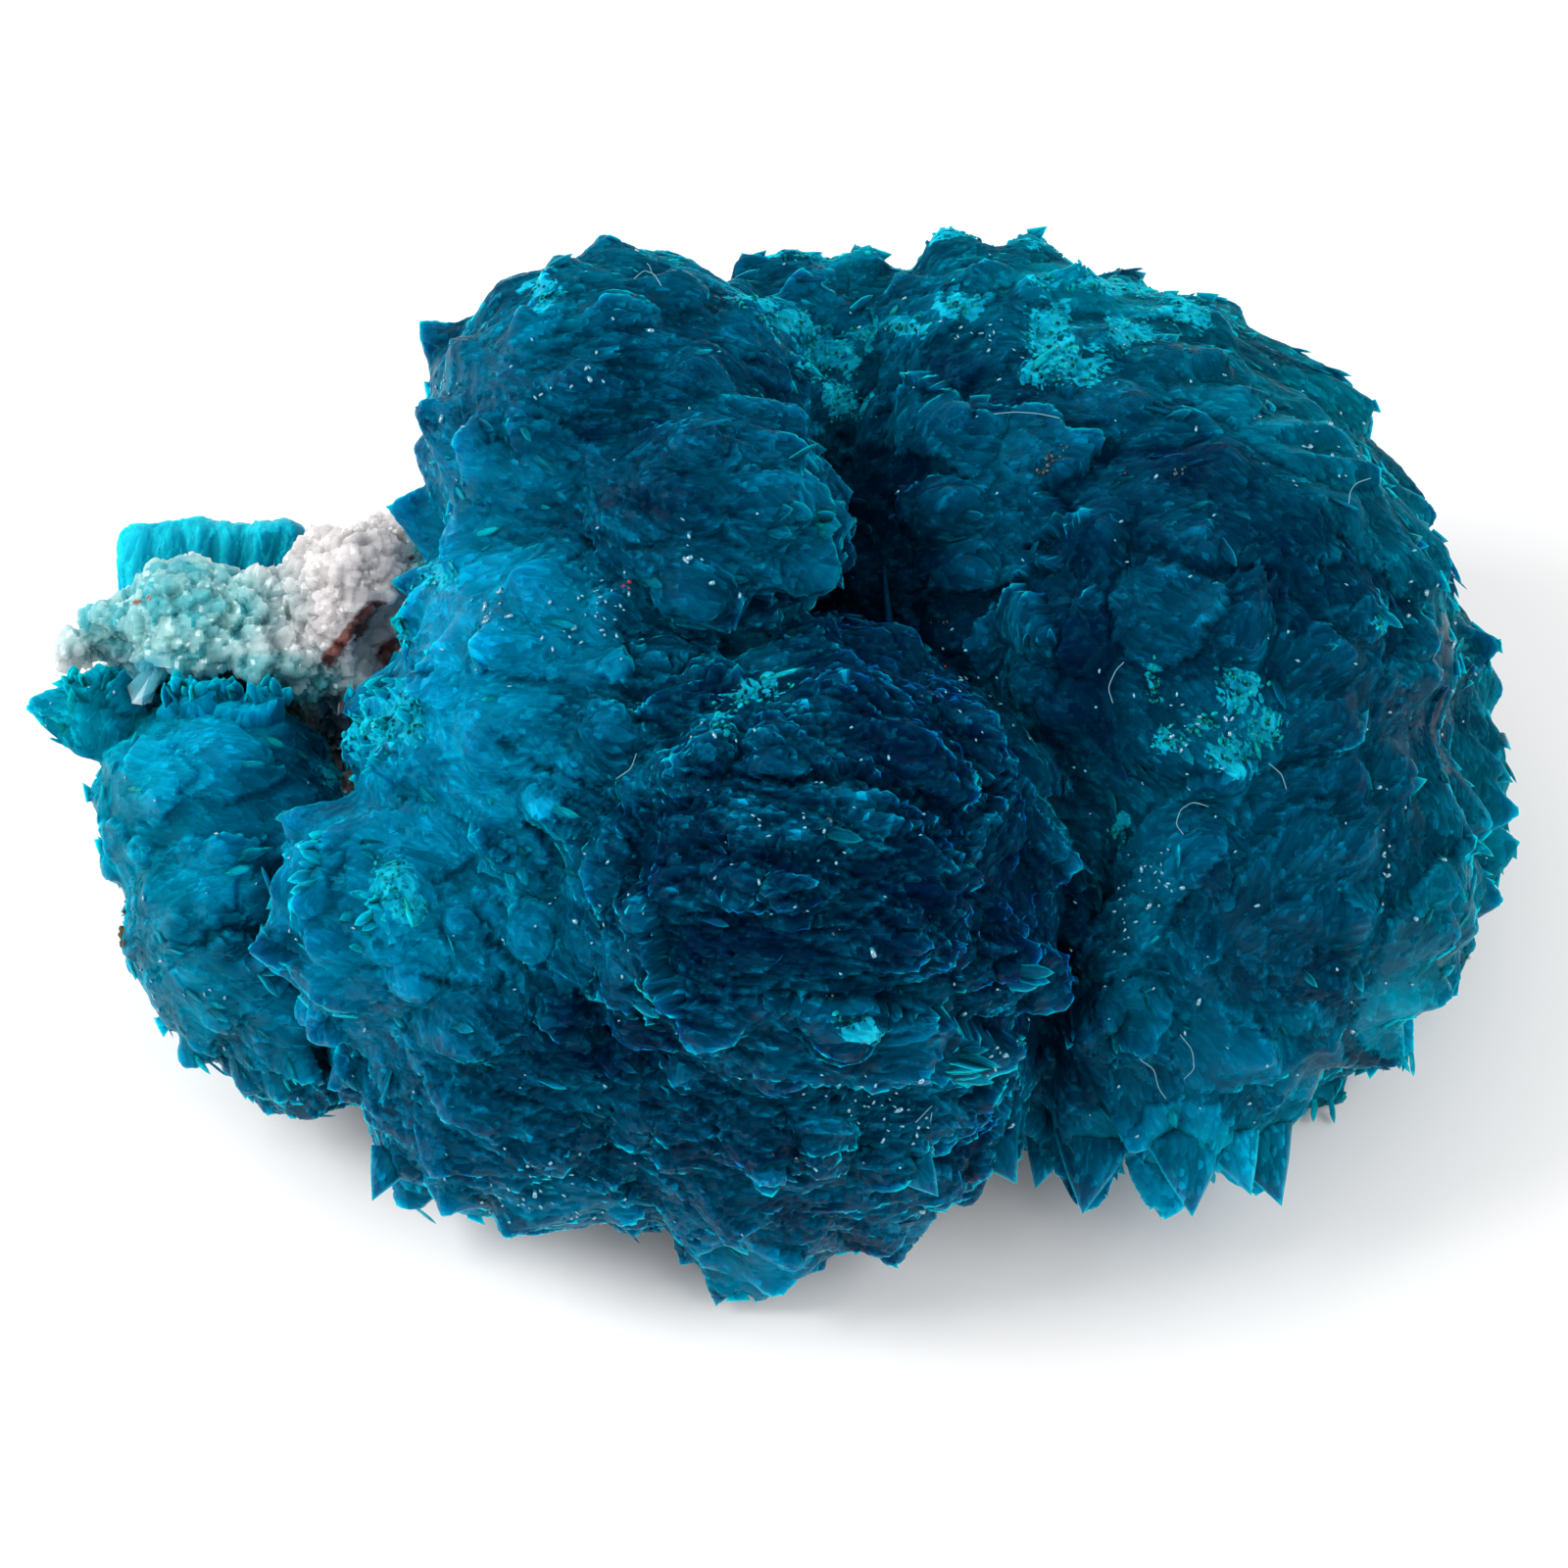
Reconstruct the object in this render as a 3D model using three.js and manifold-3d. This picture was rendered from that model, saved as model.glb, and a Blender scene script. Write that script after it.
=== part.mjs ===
// A hand specimen of cavansite: balls of radiating blue crystals that have grown into one another,
// with a smaller ball and a spray of crystals held beside them by a crust of white stilbite.
// Lengths are in millimetres. The row frame has +X to the right, +Y to the back and +Z up.
import * as THREE from "three";
import { ConvexHull } from "three/addons/math/ConvexHull.js";
import { ConvexGeometry } from "three/addons/geometries/ConvexGeometry.js";
import { mergeVertices } from "three/addons/utils/BufferGeometryUtils.js";
import Module from "manifold-3d";

const wasm = await Module();
wasm.setup();

// Places are measured on the specimen's show face, which leans back from lying flat by FACE_LEAN:
// across to the right, up the face, and out of it towards whoever looks at it.
const FACE_LEAN = THREE.MathUtils.degToRad(35);
const FLOOR = -7.0; // height of the broken underside below the origin of the show face
const SEAM = 0.65; // how far a piece stops short of the crystals of the one it grew against

// The bundled crystals that a ball shows at this size: long, low blades, in overlapping rows.
const BUNDLE_WIDE = 1.7; // spacing of bundles along a row
const BUNDLE_LONG = 3.0; // spacing of the rows
const STEP = 0.7; // height of a bundle's free end above the grooves round it
const STEP_SPREAD = 0.25; // how much that height varies, up or down
const END_AHEAD = 0.8; // how far along its patch a bundle's highest point stands

// Sides that a ball's crystals can grow from.
const RIGHT = [1, 0.1, -0.1];
const LEFT = [-1, 0.1, 0.1];
const TOP = [0.1, 1, 0.3];
const BELOW = [-0.1, -1, 0.2];
const INNER = [0.8, -0.8, 0.2];
const OUTER = [0.7, 0.8, 0.1];

// Balls of the main cluster: place on the show face, radius, and the side its crystals grow from.
const MAIN_BALLS = [
  { at: [8.6, 2.5, 1.3], radius: 5.5, from: LEFT },
  { at: [9.4, -1.8, 0.8], radius: 5.2, from: LEFT },
  { at: [6.3, 3.0, -2.4], radius: 7.5, from: LEFT },
  { at: [7.0, -0.1, -3.6], radius: 8.4, from: LEFT },
  { at: [8.0, -4.6, 0.6], radius: 4.0, from: TOP },
  { at: [4.4, 7.5, -1.2], radius: 3.7, from: BELOW },
  { at: [0.8, 7.7, -1.8], radius: 3.3, from: BELOW },
  { at: [-3.2, 6.5, 1.2], radius: 4.5, from: INNER },
  { at: [-1.4, 4.8, 3.8], radius: 3.2, from: LEFT },
  { at: [-3.6, 0.5, 1.4], radius: 5.4, from: RIGHT },
  { at: [0.5, -2.2, 3.2], radius: 5.7, from: TOP },
  { at: [-4.3, -4.6, 0.4], radius: 5.4, from: OUTER },
  { at: [0.2, -4.7, 1.0], radius: 5.8, from: TOP },
  { at: [-0.5, -9.1, -0.2], radius: 2.2, from: TOP },
  { at: [-7.7, -3.0, 2.6], radius: 3.1, from: RIGHT },
];
const LEFT_BALLS = [
  { at: [-11.5, -0.9, -1.4], radius: 2.8, from: TOP },
  { at: [-10.5, -3.1, -1.4], radius: 3.3, from: TOP },
  { at: [-13.9, 1.1, -1.2], radius: 1.2, from: RIGHT },
  { at: [-9.5, -5.0, -1.2], radius: 2.5, from: TOP },
];
const SMALL_CRYSTALS = 0.62; // crystals of the left ball, against those of the main cluster

// Single crystals that stand out of the outline: tip and root on the show face, and width.
const MAIN_POINTS = [
  { tip: [-8.1, 5.3, 0.6], root: [-5.4, 4.6, 0.6], width: 3.0 },
  { tip: [-7.5, 9.1, 0.4], root: [-5.2, 7.2, 0.6], width: 2.0 },
  { tip: [6.3, -9.2, -0.6], root: [6.2, -6.2, -0.6], width: 2.2 },
  { tip: [7.8, -9.3, 0.6], root: [8.0, -6.0, 0.6], width: 2.8 },
  { tip: [9.8, -8.9, 0.2], root: [9.2, -5.6, 0.4], width: 2.8 },
  { tip: [12.9, -6.2, -0.6], root: [11.0, -3.0, -0.6], width: 3.4 },
  { tip: [15.3, -1.0, -0.4], root: [12.6, -0.6, -0.4], width: 2.4 },
  { tip: [15.0, -2.8, 0.2], root: [12.4, -2.4, 0.2], width: 1.8 },
  { tip: [14.9, 2.5, -0.4], root: [12.2, 2.0, -0.4], width: 2.4 },
  { tip: [3.0, -9.8, 0.2], root: [1.6, -7.0, 0.4], width: 2.2 },
  { tip: [4.1, -8.6, 0.8], root: [2.2, -6.4, 0.8], width: 2.0 },
  { tip: [-7.8, -9.2, -0.4], root: [-6.4, -6.6, -0.2], width: 1.9 },
  { tip: [4.5, -6.0, 4.6], root: [1.6, -5.6, 4.0], width: 1.7 },
  { tip: [5.8, -4.2, 4.0], root: [2.6, -4.0, 3.6], width: 2.0 },
];
const LEFT_POINTS = [
  { tip: [-15.5, 1.2, -0.8], root: [-13.4, 0.8, -0.9], width: 1.7 },
  { tip: [-12.3, -6.3, -1.4], root: [-11.0, -4.4, -1.4], width: 1.4 },
];
const POINT_THICKNESS = 0.5; // of a single crystal, against its width

// Grains of the stilbite crust: place on the show face and radius.
const CRUST_GRAINS = [
  [-7.2, 3.1, -0.9, 1.2],
  [-8.0, 3.9, -1.2, 1.1],
  [-8.8, 3.3, -0.9, 1.5],
  [-9.1, 2.2, -1.5, 1.3],
  [-10.6, 2.5, -1.2, 1.45],
  [-12.1, 2.7, -1.3, 1.5],
  [-13.3, 2.4, -1.5, 1.1],
  [-14.2, 2.0, -1.6, 0.7],
  [-8.9, 0.4, -3.6, 1.5],
  [-10.4, 0.8, -3.4, 1.7],
  [-12.4, 1.4, -2.9, 1.6],
];
const GRAIN_ROUGHNESS = 0.14; // how much a grain's corners wander, as a share of its radius

// The spray behind the crust: a fan of upright blades side by side.
const SPRAY = { left: -13.8, right: -10.0, foot: 2.4, top: 5.3, out: -5.0, blades: 6, thick: 1.6 };

// Repeatable random numbers from 0 to 1.
function dice(seed) {
  let state = seed;
  return () => {
    state = (state + 0x6d2b79f5) | 0;
    let t = Math.imul(state ^ (state >>> 15), 1 | state);
    t = (t + Math.imul(t ^ (t >>> 7), 61 | t)) ^ t;
    return ((t ^ (t >>> 14)) >>> 0) / 4294967296;
  };
}

// The same surface with its points shared between triangles.
function weld(geometry) {
  const plain = geometry.index ? geometry.toNonIndexed() : geometry;
  const bare = new THREE.BufferGeometry();
  bare.setAttribute("position", plain.getAttribute("position"));
  return mergeVertices(bare, 1e-4);
}

function toSolid(geometry) {
  const welded = weld(geometry);
  const mesh = new wasm.Mesh({
    numProp: 3,
    vertProperties: new Float32Array(welded.attributes.position.array),
    triVerts: new Uint32Array(welded.index.array),
  });
  return new wasm.Manifold(mesh);
}

function toGeometry(solid) {
  const { vertProperties, triVerts } = solid.getMesh();
  const geometry = new THREE.BufferGeometry();
  geometry.setAttribute("position", new THREE.BufferAttribute(vertProperties, 3));
  geometry.setIndex(new THREE.BufferAttribute(triVerts, 1));
  geometry.computeVertexNormals();
  return geometry;
}

function join(solids) {
  return solids.reduce((whole, solid) => whole.add(solid));
}

// Directions of a ball's bundles: rings round the axis they grow along, evenly spaced.
function bundleDirections(radius, axis, size, random) {
  const turn = new THREE.Quaternion().setFromUnitVectors(new THREE.Vector3(0, 1, 0), axis);
  const rings = Math.max(4, Math.round((Math.PI * radius) / (BUNDLE_LONG * size)));
  const directions = [];
  for (let ring = 0; ring < rings; ring++) {
    const polar = ((ring + 0.5) / rings) * Math.PI;
    const around = (2 * Math.PI * Math.sin(polar) * radius) / (BUNDLE_WIDE * size);
    const count = Math.max(3, Math.round(around));
    const start = random();
    for (let i = 0; i < count; i++) {
      const azimuth = ((i + start + 0.7 * random()) / count) * 2 * Math.PI;
      const wander = (0.75 * (random() - 0.5) * Math.PI) / rings;
      const direction = new THREE.Vector3().setFromSphericalCoords(1, polar + wander, azimuth);
      directions.push(direction.applyQuaternion(turn));
    }
  }
  return directions;
}

// For each direction, the corners of the patch of the sphere that is nearest to it, in order.
function spherePatches(directions) {
  const hull = new ConvexHull().setFromPoints(directions);
  const corners = new Map(directions.map((direction) => [direction, []]));
  for (const face of hull.faces) {
    const corner = face.normal.clone().normalize();
    for (let i = 0; i < 3; i++) corners.get(face.getEdge(i).head().point).push(corner);
  }
  return directions.map((direction) => {
    const u = new THREE.Vector3(-direction.y, direction.x, 0);
    if (u.lengthSq() < 1e-6) u.set(1, 0, 0);
    u.normalize();
    const v = new THREE.Vector3().crossVectors(direction, u);
    const angle = (corner) => Math.atan2(corner.dot(v), corner.dot(u));
    const ordered = corners.get(direction).sort((a, b) => angle(a) - angle(b));
    return { direction, corners: ordered };
  });
}

// How far a patch runs from its middle in the direction `ahead`.
function runOf({ direction, corners }, ahead) {
  const runs = corners.map((corner, i) => {
    const edge = corners[(i + 1) % corners.length].clone().sub(corner);
    const outward = edge.cross(direction);
    const facing = outward.dot(ahead);
    return facing > 1e-9 ? corner.clone().sub(direction).dot(outward) / facing : Infinity;
  });
  return Math.min(...runs);
}

// A ball of crystals. Every patch of the sphere is one bundle: it rises out of the groove behind
// it to a point near its free end, which faces away from `from`, and drops off steeply there.
function crystalBall({ at, radius, from }, size, seed, swell) {
  const random = dice(seed);
  const positions = [];
  const triangle = (...points) => points.forEach((p) => positions.push(p.x, p.y, p.z));
  const axis = new THREE.Vector3(...from).normalize();
  const patches = spherePatches(bundleDirections(radius, axis, size, random));
  for (const patch of patches) {
    const { direction, corners } = patch;
    const sway = new THREE.Vector3(random() - 0.5, random() - 0.5, random() - 0.5);
    const ahead = sway.multiplyScalar(0.8).sub(axis).projectOnPlane(direction).normalize();
    const reach = radius + swell + STEP_SPREAD * size * (2 * random() - 1);
    const depth = radius + swell - STEP * size;
    const groove = corners.map((corner) => corner.clone().multiplyScalar(depth));
    const point = direction
      .clone()
      .addScaledVector(ahead, runOf(patch, ahead) * END_AHEAD)
      .normalize()
      .multiplyScalar(reach);
    groove.forEach((corner, i) => triangle(corner, groove[(i + 1) % groove.length], point));
  }
  const geometry = new THREE.BufferGeometry();
  geometry.setAttribute("position", new THREE.Float32BufferAttribute(positions, 3));
  geometry.translate(...at);
  return toSolid(geometry);
}

// One flattened six-sided crystal with a pointed end.
function pointCrystal({ tip, root, width }, swell) {
  const end = new THREE.Vector3(...tip);
  const start = new THREE.Vector3(...root);
  const along = end.clone().sub(start);
  const length = along.length();
  along.normalize();
  end.addScaledVector(along, 2 * swell);
  const half = width / 2 + 2 * swell;
  const out = new THREE.Vector3(0, 0, 1);
  const wide = new THREE.Vector3().crossVectors(along, out).normalize();
  const thick = new THREE.Vector3().crossVectors(wide, along);
  const shoulderAt = Math.max(0.3, 1 - (0.75 * width) / length);
  const rings = [
    [0, 0.9],
    [shoulderAt, 1],
  ];
  const points = [end];
  for (const [share, scale] of rings)
    for (let i = 0; i < 6; i++) {
      const angle = ((i + 0.5) * Math.PI) / 3;
      points.push(
        start
          .clone()
          .addScaledVector(along, length * share)
          .addScaledVector(wide, half * scale * Math.cos(angle) * 1.1)
          .addScaledVector(thick, half * POINT_THICKNESS * scale * Math.sin(angle) * 1.1),
      );
    }
  return toSolid(new ConvexGeometry(points));
}

// A rough grain of the crust.
function grain([x, y, z, radius], seed) {
  const random = dice(seed);
  const corners = weld(new THREE.IcosahedronGeometry(radius, 1)).getAttribute("position");
  const points = Array.from({ length: corners.count }, (_, i) => {
    const wander = 1 + GRAIN_ROUGHNESS * (2 * random() - 1);
    return new THREE.Vector3().fromBufferAttribute(corners, i).multiplyScalar(wander);
  });
  const geometry = new ConvexGeometry(points);
  geometry.translate(x, y, z);
  return toSolid(geometry);
}

const BLADE_SECTION = [
  [1, 0],
  [0.2, 1],
  [-1, 0],
  [-0.2, -1],
];

// The blades of the spray, each a little taller or shorter than the next.
function sprayOf({ left, right, foot, top, out, blades, thick }) {
  const random = dice(11);
  const pitch = (right - left) / blades;
  const made = [];
  for (let i = 0; i < blades; i++) {
    const x = left + (i + 0.5) * pitch;
    const height = top - 0.3 * random();
    const half = pitch * 0.75;
    const deep = thick * (0.4 + 0.1 * random());
    const points = [new THREE.Vector3(x + (random() - 0.5) * half, height, out)];
    for (const [y, scale] of [
      [foot, 0.75],
      [height - 0.25, 1],
    ])
      for (const [across, through] of BLADE_SECTION) {
        const [dx, dz] = [across * half * scale, through * deep * scale];
        points.push(new THREE.Vector3(x + dx, y, out + dz));
      }
    made.push(toSolid(new ConvexGeometry(points)));
  }
  return join(made);
}

// A cluster of balls and single crystals. Swollen by a seam's width, it is what its neighbours
// are cut back by.
function cluster(balls, points, size, seed, swell = 0) {
  return join([
    ...balls.map((ball, i) => crystalBall(ball, size, seed + i, swell)),
    ...points.map((point) => pointCrystal(point, swell)),
  ]);
}

const mainRosette = cluster(MAIN_BALLS, MAIN_POINTS, 1, 101);
const roundMain = cluster(MAIN_BALLS, MAIN_POINTS, 1, 101, SEAM);
const leftWhole = cluster(LEFT_BALLS, LEFT_POINTS, SMALL_CRYSTALS, 301);
const roundLeft = cluster(LEFT_BALLS, LEFT_POINTS, SMALL_CRYSTALS, 301, SEAM);
const leftRosette = leftWhole.subtract(roundMain);
const crustWhole = join(CRUST_GRAINS.map((place, i) => grain(place, 501 + i)));
const crust = crustWhole.subtract(roundMain).subtract(roundLeft);
const rearSpray = sprayOf(SPRAY).subtract(roundLeft);

// Turned to the row frame and cut flat at the floor.
function settle(solid) {
  const geometry = toGeometry(solid);
  geometry.rotateX(FACE_LEAN);
  const below = new THREE.BoxGeometry(80, 80, 20);
  below.translate(0, 0, FLOOR - 10);
  return toSolid(geometry).subtract(toSolid(below));
}

const PIECES = [
  { name: "main_rosette", solid: mainRosette, colour: 0x00557d, roughness: 0.35 },
  { name: "left_rosette", solid: leftRosette, colour: 0x0083ad, roughness: 0.35 },
  { name: "stilbite_crust", solid: crust, colour: 0xc4bdb9, roughness: 0.6 },
  { name: "rear_spray", solid: rearSpray, colour: 0x0aa0ae, roughness: 0.35 },
];

const specimen = new THREE.Group();
const lying = new THREE.Group();
specimen.add(lying);
for (const { name, solid, colour, roughness } of PIECES) {
  const bodies = settle(solid).decompose();
  const largest = bodies.reduce((a, b) => (b.volume() > a.volume() ? b : a));
  const material = new THREE.MeshStandardMaterial({ color: colour, roughness, metalness: 0 });
  const mesh = new THREE.Mesh(toGeometry(largest), material);
  mesh.name = name;
  lying.add(mesh);
}

// The origin is the centre of the underside of the whole specimen's box.
const box = new THREE.Box3().setFromObject(lying);
lying.position.set(-(box.min.x + box.max.x) / 2, -(box.min.y + box.max.y) / 2, -FLOOR);

export default specimen;
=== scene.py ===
# %% [markdown]
# # A hand specimen of cavansite
#
# Cavansite is a blue vanadium silicate. It grows as balls of thin, pointed blades that all start
# from one place, so the outside of a ball is made of blade ends. Here the balls have grown into one
# another, and a smaller ball and a spray of blades sit beside them on a crust of white stilbite.
#
# The solids give where every ball and every large bundle of blades is. This lesson draws the fine
# scales, grains and blades over them, and gives each mineral its colour and gloss.

import math
from collections import namedtuple

import bmesh
import bpy
import numpy as np
from mathutils import Matrix, Vector


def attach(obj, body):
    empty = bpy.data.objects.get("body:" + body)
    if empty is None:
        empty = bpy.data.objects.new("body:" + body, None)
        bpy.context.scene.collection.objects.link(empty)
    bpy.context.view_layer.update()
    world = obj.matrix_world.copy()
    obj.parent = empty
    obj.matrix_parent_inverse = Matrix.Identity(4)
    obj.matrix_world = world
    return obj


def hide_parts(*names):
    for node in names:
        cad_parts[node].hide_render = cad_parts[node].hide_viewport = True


MM = 0.001


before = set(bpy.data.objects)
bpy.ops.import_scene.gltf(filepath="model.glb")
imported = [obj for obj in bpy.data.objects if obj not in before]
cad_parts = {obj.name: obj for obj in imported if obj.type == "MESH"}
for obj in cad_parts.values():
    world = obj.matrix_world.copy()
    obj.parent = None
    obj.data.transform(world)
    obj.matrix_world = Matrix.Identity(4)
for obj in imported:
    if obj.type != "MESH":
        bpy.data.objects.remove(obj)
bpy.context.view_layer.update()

# %% [markdown]
# ## Where things are
#
# The show face of the specimen leans back from lying flat by 35 degrees. Places are easiest to
# give on that face, in millimetres: `u` to the right, `v` up the face and `w` out of it. One
# turn about X and one shift bring them to where the solids are.

# %% Places on the show face
FACE_LEAN = math.radians(35)
SHIFT = np.array([0.0392, -0.6609, 7.0])  # mm, where the middle of the show face is

FACE_TURN = np.array(
    [
        [1, 0, 0],
        [0, math.cos(FACE_LEAN), -math.sin(FACE_LEAN)],
        [0, math.sin(FACE_LEAN), math.cos(FACE_LEAN)],
    ]
)


def from_face(points):
    """Points or one point on the show face, in mm, to mm in the solids' frame."""
    return np.asarray(points, float) @ FACE_TURN.T + SHIFT


def turn_from_face(directions):
    return np.asarray(directions, float) @ FACE_TURN.T


def to_face(points):
    return (np.asarray(points, float) - SHIFT) @ FACE_TURN


OUT = turn_from_face((0, 0, 1))
print("middle of the show face, mm:", from_face([0, 0, 0]).round(2), "facing", OUT.round(2))

# %% [markdown]
# ## The balls
#
# Each ball has a place, a radius, and a grain: the way its blades run along the surface, towards
# their free ends. `stretch` says how long and narrow the scales look that the blades' ends make:
# where blades lie along the surface like the barbs of a feather it is 3 or more, and where they
# stand on end and show blocky tips it is little more than 1.

# %% The balls of blades
# place on the show face, radius, grain, stretch, and how strongly the blades stand out
MAIN_BALLS = [
    ((8.6, 2.5, 1.3), 5.5, (0.4, -1.0, 0.0), 1.3, 0.45),
    ((9.4, -1.8, 0.8), 5.2, (0.1, -1.0, 0.0), 1.7, 0.45),
    ((6.3, 3.0, -2.4), 7.5, (1.0, 0.3, 0.0), 1.5, 0.45),
    ((7.0, -0.1, -3.6), 8.4, (0.3, -1.0, 0.0), 1.5, 0.45),
    ((8.0, -4.6, 0.6), 4.0, (0.1, -1.0, 0.0), 2.0, 0.5),
    ((4.4, 7.5, -1.2), 3.7, (1.0, 0.1, 0.0), 2.2, 0.55),
    ((0.8, 7.7, -1.8), 3.3, (1.0, 0.3, 0.0), 2.0, 0.55),
    ((-3.2, 6.5, 1.2), 4.5, (1.0, -0.15, 0.0), 2.6, 0.5),
    ((-1.4, 4.8, 3.8), 3.2, (0.9, -0.35, 0.0), 2.6, 0.55),
    ((-3.6, 0.5, 1.4), 5.4, (0.85, -0.4, 0.0), 3.2, 0.65),
    ((0.5, -2.2, 3.2), 5.7, (1.0, -0.05, 0.0), 3.6, 1.0),
    ((-4.3, -4.6, 0.4), 5.4, (0.8, -0.5, 0.0), 3.0, 0.7),
    ((0.2, -4.7, 1.0), 5.8, (1.0, -0.2, 0.0), 3.0, 0.55),
    ((-0.5, -9.1, -0.2), 2.2, (0.3, -1.0, 0.0), 2.2, 0.5),
    ((-7.7, -3.0, 2.6), 3.1, (-1.0, 0.1, 0.0), 2.6, 0.6),
]
LEFT_BALLS = [
    ((-11.5, -0.9, -1.4), 2.8, (0.9, 0.3, 0.0), 2.0, 0.6),
    ((-10.5, -3.1, -1.4), 3.3, (0.5, -0.5, 0.0), 2.0, 0.6),
    ((-13.9, 1.1, -1.2), 1.2, (-1.0, 0.3, 0.0), 2.0, 0.7),
    ((-9.5, -5.0, -1.2), 2.5, (0.5, -0.8, 0.0), 2.2, 0.65),
]
CRUST_BALLS = [((-11.0, 3.0, -3.0), 2.0, (1.0, 0.0, 0.0), 1.0, 1.0)]
SPRAY_BALLS = [((-12.0, 3.9, -5.0), 1.0, (0.0, 1.0, 0.0), 4.0, 0.8)]
print("balls:", len(MAIN_BALLS), "in the main cluster,", len(LEFT_BALLS), "in the small one")

# %% [markdown]
# ## Nothing quite regular
#
# A crystal mass has no straight rows. Ways and colours wander a little from place to place. A
# noise texture could do it in a material, but the shapes need it too, so it is a sum of a few
# sine waves that run in random directions, worked out at every point.


# %% Numbers and directions that wander
def unit(vectors):
    return vectors / np.maximum(np.linalg.norm(vectors, axis=-1, keepdims=True), 1e-12)


WAVES = 10
USUAL_SUM = 4.5  # few points have a sum of so many waves that is larger


def smooth_noise(points, scale, seed):
    """A smooth random number from about -1 to 1 at each point, changing over `scale` mm."""
    random = np.random.default_rng(seed)
    waves = unit(random.normal(size=(WAVES, 3))) * random.uniform(0.5, 1.3, (WAVES, 1)) / scale
    phase = random.uniform(0, 2 * math.pi, WAVES)
    return np.sin(points @ waves.T * 2 * math.pi + phase).sum(axis=1) / USUAL_SUM


def smooth_way(points, scale, seed):
    """A direction that wanders: three smooth random numbers at each point."""
    return np.stack([smooth_noise(points, scale, seed + k) for k in range(3)], axis=1)


def along_surface(ways, normal):
    """Directions turned to lie along the surface."""
    return unit(ways - (ways * normal).sum(axis=1, keepdims=True) * normal)


sample = smooth_noise(np.random.default_rng(0).uniform(-9, 9, (1000, 3)), 2.0, 1)
print("smooth noise, middle and spread:", sample.mean().round(2), sample.std().round(2))

# %% [markdown]
# ## Which ball a point belongs to
#
# Where two balls meet, their blades bend into one another. So a point takes the grain of every
# ball, each weighted by how near the point is to that ball's own surface.


# %% What the balls say about a point
BEND = 0.5  # mm over which the grain of one ball turns into the next one's
WANDER, WANDER_OVER = 0.3, 4.0  # how much the grain wanders, and over how many mm


class Balls:
    """The balls as arrays, and what they say about a point of the surface."""

    def __init__(self, rows):
        self.centre = from_face([row[0] for row in rows])
        self.radius = np.array([row[1] for row in rows])
        self.grain = unit(turn_from_face([row[2] for row in rows]))
        self.stretch = np.array([row[3] for row in rows])
        self.relief = np.array([row[4] for row in rows])

    def near(self, points):
        """How much each ball counts at each point: most where the point is on its surface."""
        distance = np.linalg.norm(points[:, None] - self.centre[None], axis=2) - self.radius
        weight = np.exp(-np.abs(distance) / BEND)
        return weight / weight.sum(axis=1, keepdims=True)

    def grain_at(self, points, normal):
        """The grain along the surface, the stretch and the relief at each point."""
        weight = self.near(points)
        run = weight @ self.grain + WANDER * smooth_way(points, WANDER_OVER, 50)
        return along_surface(run, normal), weight @ self.stretch, weight @ self.relief


main_balls, left_balls = Balls(MAIN_BALLS), Balls(LEFT_BALLS)
crust_balls, spray_balls = Balls(CRUST_BALLS), Balls(SPRAY_BALLS)
print("largest ball:", main_balls.radius.max(), "mm in radius")

# %% [markdown]
# ## A fine skin
#
# Seen close, the balls are one glassy mass of blade ends, grown into one another like
# overlapping scales. It could be tens of thousands of separate blades, but those look like fur.
# It is drawn as a fine skin instead: a copy of each solid is remeshed into small even faces, and
# each scale is a patch of them with its own tilt and its own height. Evening the points out
# first takes away the solid's flat sides and the steps of the remeshing.


# %% Remesh a solid finely
def remeshed(node, size):
    """Points, quads, normals and neighbour pairs of a node remeshed to faces `size` mm wide."""
    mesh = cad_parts[node].data.copy()
    mesh.transform(Matrix.Scale(1 / MM, 4))
    obj = bpy.data.objects.new("remesh", mesh)
    bpy.context.collection.objects.link(obj)
    modifier = obj.modifiers.new("remesh", "REMESH")
    modifier.mode, modifier.voxel_size = "VOXEL", size
    fine = obj.evaluated_get(bpy.context.evaluated_depsgraph_get()).to_mesh()
    points = np.empty(len(fine.vertices) * 3)
    fine.vertices.foreach_get("co", points)
    normal = np.empty(len(fine.vertices) * 3)
    fine.vertices.foreach_get("normal", normal)
    quads = np.empty(len(fine.loops), dtype=np.int32)
    fine.loops.foreach_get("vertex_index", quads)
    edges = np.empty(len(fine.edges) * 2, dtype=np.int32)
    fine.edges.foreach_get("vertices", edges)
    bpy.data.objects.remove(obj)
    bpy.data.meshes.remove(mesh)
    return points.reshape(-1, 3), quads.reshape(-1, 4), normal.reshape(-1, 3), edges.reshape(-1, 2)


KEPT_EACH_TIME = 0.4  # share of its own value that a point keeps each time


def evened(values, edges, times):
    """Values at points, each pulled towards the mean of its neighbours, `times` times."""
    count = len(values)
    ends = np.concatenate([edges, edges[:, ::-1]])
    many = np.bincount(ends[:, 0], minlength=count)[:, None]
    for _ in range(times):
        total = [np.bincount(ends[:, 0], values[ends[:, 1], k], count) for k in range(3)]
        total = np.stack(total, axis=1)
        values = KEPT_EACH_TIME * values + (1 - KEPT_EACH_TIME) * total / many
    return values


print("solids to cover:", sorted(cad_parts))

# %% [markdown]
# ## Points spread out, and found again
#
# The scales need middles that are neither too close nor in rows. Points are taken at random, and
# one is kept only if no kept one is near. Both that and finding the points under a scale would
# be slow if every point were compared with every other. So points are sorted into cubes, and
# only the cubes around a place are searched.


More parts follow.
